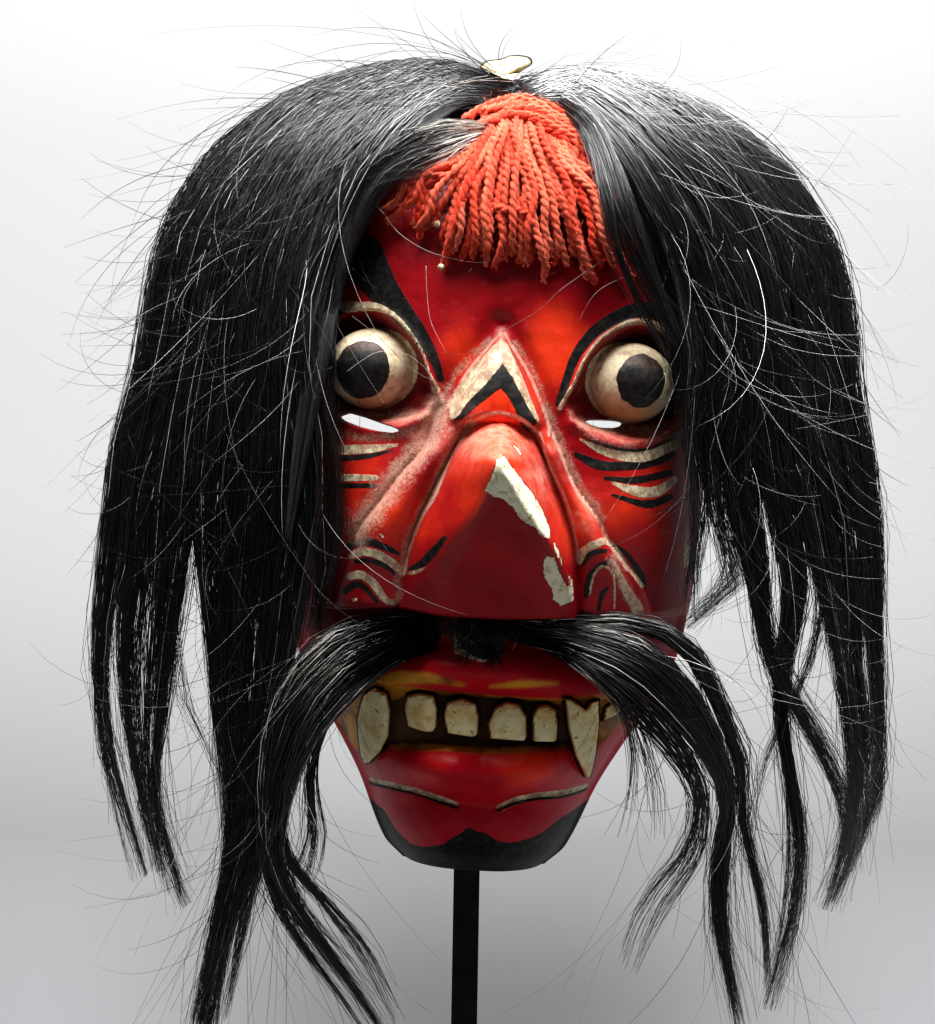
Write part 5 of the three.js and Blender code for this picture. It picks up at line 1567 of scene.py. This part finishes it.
def laid_wisp(rng, trail, lifts, count):
    """Strands along a trail that lies over the face at the given heights."""
    trail = np.array(trail, float)
    flat = from_photo(trail[:, :2], np.full(len(trail), 56.0))
    depth = drape(flat[:, 0], flat[:, 1] * 0, flat[:, 2], 0.0) + np.array(lifts)
    share, layer = rng.uniform(-1, 1, count), rng.uniform(-1, 1, count)
    u = np.linspace(0, 1, len(trail))
    width = trail[:, 2] * pixel_size(depth)
    controls = trail_controls(rng, from_photo(trail[:, :2], depth), width, width * 0.12, share, layer, u,
                              5, 0.3)
    return resampled(controls, rng.uniform(0, 0.15, count), rng.uniform(0.4, 1, count), 12)


def hide_strip(side, material):
    """Hide along the parting, with an uneven edge, from which the hair grows."""
    depths = np.linspace(41, 3, 60)
    rings = []
    for depth in depths:
        top = float(dome_top(np.array(depth))) + 0.5
        wide = HIDE_WIDTH[side] + 3.0 * float(grain(np.array(depth), np.array(side * 3.0), 2.3, 31))
        inner = 0.5 + 0.8 * abs(float(grain(np.array(depth), np.array(9.0), 1.7, 32)))
        high = 4.2 + 2.0 * float(grain(np.array(depth), np.array(side * 7.0), 1.5, 33))
        across = np.array([inner, inner + 0.4, inner + wide * 0.6, inner + wide, inner + wide, inner])
        lift = np.array([0.8, high, high * 1.1, high * 0.8, -0.3, -0.3])
        rings.append(np.stack([side * across, np.full(6, depth), top + lift], 1))
    return lofted("hide_" + ("left" if side < 0 else "right"), rings, [material], smooth=False)


HIDE_FLAP = [(-9.2, 76.4), (-9.4, 71), (-9.3, 66.6), (-8.4, 65.6), (-5, 64.8), (-1.6, 64.0), (0.4, 64.6),
             (3.0, 69), (3.2, 76.6)]
FUR_BED = [(-7.7, 76.4), (-7.8, 71), (-7.6, 67.4), (-7, 66.8), (-4.6, 65.8), (-1.4, 64.8), (1, 65.6),
           (3.6, 70), (3.4, 76.6)]


def flap(name, corners, lifts, material):
    """A thin uneven flap on the upper lip, under the ledge, between two heights above the carving."""
    outline = smooth_line(corners, closed=True)
    centre = outline.mean(0)
    rings = []
    for lift, size in ((lifts[0], 0.98), (lifts[1] - 0.4, 1.0), (lifts[1], 0.95)):
        p = centre + (outline - centre) * size
        depth = cover_depth(p[:, 0], np.minimum(p[:, 1], 75.0)) + lift
        rings.append(np.stack([p[:, 0], depth, p[:, 1]], 1))
    return lofted(name, rings, [material])


CREST_HIGH = 7.0
# Edges of the strip of hide that show at the front of the parting, in pixels of the photo
CREST_HIDES = [
    [(529, 57), (532, 64), (522, 71), (515, 78), (511, 87), (501, 94), (489, 97), (478, 96), (483, 90),
     (494, 84), (499, 78), (491, 72), (480, 68), (486, 61), (500, 59), (513, 55)],
    [(534, 97), (548, 99), (562, 103), (561, 108), (546, 106), (533, 103)],
]


def crest_hide(name, pixels):
    """A piece of hide over the front of the crown, whose cut edge shows."""
    outline = smooth_line(pixels, closed=True)
    centre = outline.mean(0)
    rings = []
    for high, size in ((1.0, 0.95), (CREST_HIGH, 1.0), (CREST_HIGH + 0.6, 0.9)):
        ring = centre + (outline - centre) * size
        depth = np.full(len(ring), 56.0)
        while (from_photo(ring, depth)[:, 2] > dome_top(depth) + high).any() and depth.min() > 4:
            depth = depth - 0.5 * (from_photo(ring, depth)[:, 2] > dome_top(depth) + high)
        rings.append(from_photo(ring, depth))
    return lofted(name, rings, [hide], smooth=False)


def ledge_fur():
    """Short black fur under the ledge, on the moustache's hide."""
    rng = np.random.default_rng(SEED + 31)
    count = 1100
    x = np.concatenate([rng.uniform(-7.2, 3.6, 420), rng.uniform(-24, 34, 680)])
    z = np.where(np.arange(count) < 420, rng.uniform(65.5, 76.2, count), rng.uniform(72.5, 76.4, count))
    depth = cover_depth(x, np.minimum(z, 75.0)) + 2.9
    headings = np.stack([0.35 * np.sign(x + 3) + rng.normal(0, 0.35, count),
                         0.55 + rng.normal(0, 0.25, count),
                         -1 + rng.normal(0, 0.3, count)], 1)
    lines = stray_lines(rng, np.stack([x, depth, z], 1), headings, rng.uniform(2.5, 6, count),
                        rng.uniform(-1, 1, count), 4)
    return tubes("moustache_fur", [batch(rng, lines, 0.15, pale=0.02)], hair)


# Wool. The yarns' ends are at these pixels of the photo.


FAN_ENDS = [(384, 219), (398, 216), (411, 228), (415, 237), (424, 232), (437, 243), (442, 264),
            (450, 252), (462, 258), (470, 256), (478, 252), (486, 263), (492, 268), (503, 258),
            (512, 262), (524, 259), (532, 266), (545, 281), (553, 268), (562, 263), (572, 252),
            (580, 262), (588, 280), (597, 290), (604, 262), (612, 274), (618, 258), (600, 238),
            (608, 222), (598, 206)]
ARCH = [(463, 119), (478, 109), (500, 101), (522, 98), (548, 105), (574, 119), (594, 137), (604, 160),
        (603, 190), (598, 218)]
RIGHT_ENDS = [(600, 168), (606, 182), (596, 192), (603, 204), (590, 205), (609, 232), (626, 246),
              (640, 214), (646, 250), (632, 280)]
KNOT = (514, 140)
BEADS = [(437, 224), (441, 267), (513, 214)]
YARN_STEPS = 38
PLY_RADIUS = 0.80
PLY_SPREAD = 0.54
TWIST_LENGTH = 5.0


def yarn_paths(rng):
    """Middle lines of the tuft's yarns."""
    paths = []

    def lay(pixels, lift):
        pixels = np.array(pixels, float)
        flat = from_photo(pixels, np.full(len(pixels), 55.0))
        floor = drape(flat[:, 0], np.full(len(flat), 20.0), flat[:, 2], 0.0, 2.0)
        depth = floor + np.array(lift) + 7.0 * np.clip((152 - pixels[:, 1]) / 45, 0, 1)
        paths.append(resampled(from_photo(pixels, depth)[None], np.zeros(1), np.ones(1), YARN_STEPS)[0])

    for turn in range(2):
        for n, (x, y) in enumerate(FAN_ENDS):
            share = n / (len(FAN_ENDS) - 1) * 2 - 1
            end = np.array([x, y]) + rng.normal(0, 3, 2) - np.array([0, 14 * turn * rng.random()])
            start = (np.array([KNOT[0] + 4 + 40 * share, KNOT[1] - 24 + 16 * share * share])
                     + rng.normal(0, 4, 2))
            crest = (np.array([KNOT[0] + 2 + 62 * share, KNOT[1] + 2 + 26 * share * share])
                     + rng.normal(0, 4, 2))
            middle = lerp(crest, end, 0.42) + np.array([8 * share, -8 * abs(share)]) + rng.normal(0, 4, 2)
            low = lerp(middle, end, 0.6) + rng.normal(0, 3, 2)
            high = rng.uniform(2.2, 5.0) + 2.4 * turn
            lay([start, crest, middle, low, end], [0.5, high + 3.5, high + 3.5, high + 1, 1.6 + 1.2 * turn])
    for n in range(18):
        row = n % 6
        inward = 1 - 0.10 * row - 0.03 * rng.random()
        arch = (np.array(KNOT) + (np.array(ARCH) - np.array(KNOT)) * inward
                + rng.normal(0, 1.6, (len(ARCH), 2)))
        first = n % 3
        stop = len(ARCH) - (n % 4)
        lay(arch[first:stop], 2.0 + 2.0 * math.sin(row / 5 * math.pi) + rng.uniform(0, 2.5)
            + np.zeros(stop - first))
    for x, y in RIGHT_ENDS:
        start = np.array([KNOT[0] + 24 + rng.normal(0, 4), KNOT[1] - 10 + rng.normal(0, 4)])
        end = np.array([x, y]) + rng.normal(0, 2, 2)
        bow = lerp(start, end, 0.5) + np.array([6, -14])
        lay([start, bow, lerp(bow, end, 0.6), end], [2, 4, 3.5, 2])
    lay([(545, 172), (530, 192), (515, 211)], [8.5, 8.5, 7.5])
    lay([(490, 206), (510, 212), (533, 214)], [8, 8.5, 7.5])
    lay([(612, 150), (604, 168), (594, 186)], [6, 6.5, 5])
    return np.stack(paths)


def wool_tuft():
    rng = np.random.default_rng(SEED + 40)
    paths = yarn_paths(rng)
    count, steps = paths.shape[:2]
    tangent = unit(np.gradient(paths, axis=1))
    first = unit(np.cross(tangent, np.array([0, 1.0, 0.2])))
    second = np.cross(tangent, first)
    length = np.concatenate([np.zeros((count, 1)),
                             np.cumsum(np.linalg.norm(np.diff(paths, axis=1), axis=2), 1)], 1)
    angle = length / TWIST_LENGTH * 2 * math.pi + rng.uniform(0, 6, (count, 1))
    open_end = 1 + 0.7 * smoothstep(np.arange(steps) / steps, 0.9, 1.0)[None, :]
    wander = wave(rng, count, np.linspace(0, 1, steps), 2.5) * 0.35
    plies = []
    for half in (0, math.pi):
        u = (np.cos(angle + half) * PLY_SPREAD * open_end + wander)[..., None]
        v = (np.sin(angle + half) * PLY_SPREAD * open_end)[..., None]
        plies.append(paths + first * u + second * v)
    plies = np.concatenate(plies)
    t = np.linspace(0, 1, steps)[None, :]
    radii = PLY_RADIUS * (1 + 0.12 * wave(rng, len(plies), t[0], 9)) * (1 - 0.45 * smoothstep(t, 0.93, 1))
    tones = rng.uniform(0, 1, (len(plies) // 2, 1))
    tones = np.concatenate([tones, tones]) + 0 * t
    yarn = tubes("wool_yarns", [(plies, np.clip(radii, 0.35, 1.15), tones)], wool, sides=5)
    places, headings = picked(rng, [plies], 2400, 0.03, 1.0)
    away = unit(rng.normal(0, 1, places.shape) + 0.6 * headings + np.array([0, 0.4, 0]))
    lengths = rng.uniform(1.5, 4.5, len(places))
    fuzz = stray_lines(rng, places, away, lengths, rng.uniform(-3, 3, len(places)), 4, 0.0)
    fuzz_radii = np.full(fuzz.shape[:2], 0.062)
    fuzz_tones = rng.uniform(0.3, 1, (len(fuzz), 1)) + 0 * fuzz_radii
    return [yarn, tubes("wool_fuzz", [(fuzz, fuzz_radii, fuzz_tones)], wool)]


def wool_material():
    s = Shader("red_wool")
    fibres = s.noise(1500, 4, 0.7)
    colour = s.mix(s.ramp(fibres, 0.3, 0.7), (0.72, 0.012, 0.007), (0.98, 0.10, 0.045))
    tone = s.plus(s.field("tone"), s.math("MULTIPLY_ADD", s.noise(120, 3), 0.8, -0.4), clamp=True)
    colour = s.mix(s.times(tone, 0.6), colour, (1.0, 0.33, 0.20))
    hairy = s.plus(fibres, s.noise(3800, 3, 0.7))
    s.set(Base_Color=colour, Roughness=1.0, Specular_IOR_Level=0.15, Sheen_Weight=0.5,
          Sheen_Tint=(1.0, 0.40, 0.26, 1),
          Normal=s.bump(hairy, 0.0006, 0.9))
    return s.material


def bead(name, pixel, material):
    """A small uneven pale bead at a yarn's end."""
    place = from_photo([pixel], np.array([55.0]))
    depth = drape(place[:, 0], place[:, 1] * 0, place[:, 2], 4.2)
    centre = from_photo([pixel], depth)[0]
    a = np.linspace(0, 2 * math.pi, 14, endpoint=False)[None, :]
    b = np.linspace(0.12, math.pi - 0.12, 10)[:, None]
    r = 0.9 * (1 + 0.3 * grain(a * 3 + 0 * b, b * 5 + 0 * a, 1.7, int(pixel[0])))
    x, y, z = r * np.sin(b) * np.cos(a), r * np.sin(b) * np.sin(a), r * np.cos(b) + 0 * a
    return lofted(name, centre + np.stack([x, y, z], 2), [material])


# The stage, the lights and the camera


def paper_material():
    """Backdrop paper with painted light: grey at the foot of the sweep to nearly white above, and a painted
    shadow of the mask in the middle of its foot.
    """
    s = Shader("paper")
    split = s.tree.nodes.new("ShaderNodeSeparateXYZ")
    s.tree.links.new(s.coordinates, split.inputs[0])
    away = s.plus(split.outputs["Y"], CAMERA_TO_RIM - mask_high[1])
    across = s.math("DIVIDE", split.outputs["X"], away)
    height = s.math("DIVIDE", s.math("SUBTRACT", split.outputs["Z"], CAMERA_Z), away)
    # Painted light: grey at the foot of the sweep, nearly white above
    pale = s.mix(s.ramp(height, -0.22, 0.06), (0.165, 0.167, 0.172), (0.60, 0.605, 0.605))
    pale = s.mix(s.ramp(height, 0.02, 0.19), pale, (0.82, 0.82, 0.82))
    # Painted shadow of the mask in the middle of the sweep's foot
    middle = s.ramp(s.math("ABSOLUTE", s.plus(across, -0.01)), 0.016, 0.18, 1.0, 0.0)
    low = s.times(middle, s.ramp(height, -0.20, -0.10, 1.0, 0.0))
    colour = s.mix(s.times(low, 0.8), pale, (0.05, 0.048, 0.046))
    fibre = s.noise(900, 3)
    s.set(Base_Color=colour, Roughness=s.math("MULTIPLY_ADD", fibre, 0.06, 0.92), Specular_IOR_Level=0.2)
    return s.material


def steel_material(name, dark, light):
    s = Shader(name)
    mottled = s.noise(90, 5, 0.65)
    colour = s.mix(s.ramp(mottled, 0.35, 0.7), dark, light)
    worn = s.ramp(s.noise(420, 4, 0.7), 0.62, 0.78, 0.0, 0.5)
    colour = s.mix(worn, colour, (0.09, 0.075, 0.06))
    rough = s.math("MULTIPLY_ADD", s.noise(260, 5, 0.7), 0.3, 0.3)
    s.set(Base_Color=colour, Metallic=0.75, Roughness=rough,
          Normal=s.bump(s.noise(1400, 4, 0.6), 0.00015, 0.5))
    return s.material


def sweep(material):
    """The floor, which curves up into the backdrop."""
    front = -0.45
    back = 1.0
    radius = 0.55
    top = 3.2
    half = 3.2
    profile = [(front, 0.0), (back, 0.0)]
    profile += [(back + radius * math.sin(a), radius * (1 - math.cos(a)))
                for a in np.linspace(0, math.pi / 2, 25)[1:]]
    profile.append((back + radius, top))
    points = [(x, y, z) for y, z in profile for x in (-half, half)]
    faces = [(2 * i, 2 * i + 1, 2 * i + 3, 2 * i + 2) for i in range(len(profile) - 1)]
    floor = mesh_object("floor", points, faces, [material])


LIGHTS = {
    "overhead": dict(place=(0.05, -0.20, 1.05), target=(0, 0.0, 0.22), size=(0.9, 0.5), power=26),
    "top_back": dict(place=(0.12, 0.22, 0.95), target=(0.0, 0, 0.3), size=(0.7, 0.3), power=11),
    "front_fill": dict(place=(-0.5, -1.6, 0.7), target=(0, 0, 0.22), size=(0.8, 0.8), power=0.4),
    "backdrop": dict(place=(0, 0.95, 1.35), target=(0, 1.5, 0.35), size=(2.4, 0.3), power=14),
}


def area_light(name, place, target, size, power):
    data = bpy.data.lights.new(name, "AREA")
    data.shape = "RECTANGLE"
    data.size, data.size_y = size
    data.energy = power
    light = bpy.data.objects.new(name, data)
    bpy.context.collection.objects.link(light)
    light.location = place
    light.rotation_euler = (Vector(target) - Vector(place)).to_track_quat("-Z", "Y").to_euler()


def camera():
    data = bpy.data.cameras.new("camera")
    data.sensor_width = SENSOR
    data.lens = LENS
    data.clip_start = 0.01
    cam = bpy.data.objects.new("camera", data)
    bpy.context.collection.objects.link(cam)
    place = Matrix.Translation((CAMERA_X, mask_high[1] - CAMERA_TO_RIM, CAMERA_Z))
    cam.matrix_world = place @ Matrix.Rotation(math.pi / 2, 4, "X") @ Matrix.Rotation(CAMERA_ROLL, 4, "Z")
    bpy.context.scene.camera = cam


def dress(piece, node):
    """The piece moves with the mask and is shown for a CAD node."""
    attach(piece, "root")
    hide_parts(node)


hair = hair_material()
hair_core = core_material()
hide = hide_material()
wool = wool_material()

mask = mask_mesh()
paint(mask)
mask.data.materials.clear()
mask.data.materials.append(paint_material())
dress(mask, "mask")

head_lines = []
moustache_hairs = []
for name, side, seed in (("left", -1, 1), ("right", 1, 2)):
    pieces, lines = hair_side(name, side, SEED + seed)
    head_lines += lines
    pieces.append(hide_strip(side, hide))
    for piece in pieces:
        dress(piece, "hair_" + name)
    pieces, lines = moustache(name, SEED + 10 + seed)
    moustache_hairs += lines
    for piece in pieces:
        dress(piece, "moustache_" + name)
dress(strays(head_lines, moustache_hairs), "hair_left")
dress(flap("hide_moustache", HIDE_FLAP, (-4.0, 2.2), hide), "moustache_left")
dress(flap("fur_bed", FUR_BED, (1.0, 3.0), hair_core), "moustache_left")
dress(ledge_fur(), "moustache_left")
dress(crest_hide("hide_front_left", CREST_HIDES[0]), "hair_left")
dress(crest_hide("hide_front_right", CREST_HIDES[1]), "hair_right")
for piece in wool_tuft():
    dress(piece, "wool_tuft")
for n, pixel in enumerate(BEADS):
    dress(bead(f"bead_{n}", pixel, hide), "wool_tuft")

for node, dark, light in (("stand_post", (0.018, 0.015, 0.013), (0.040, 0.033, 0.028)),
                          ("stand_foot", (0.016, 0.016, 0.017), (0.03, 0.03, 0.031))):
    steel = steel_material(node + "_steel", dark, light)
    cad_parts[node].data.materials.clear()
    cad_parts[node].data.materials.append(steel)

sweep(paper_material())
for name, light in LIGHTS.items():
    area_light(name, **light)
world = bpy.data.worlds.new("world")
bpy.context.scene.world = world
world.use_nodes = True
world.node_tree.nodes["Background"].inputs["Color"].default_value = (0.9, 0.93, 1.0, 1)
world.node_tree.nodes["Background"].inputs["Strength"].default_value = 0.03
bpy.context.scene.view_settings.view_transform = "Standard"
bpy.context.scene.view_settings.look = "Medium High Contrast"
camera()
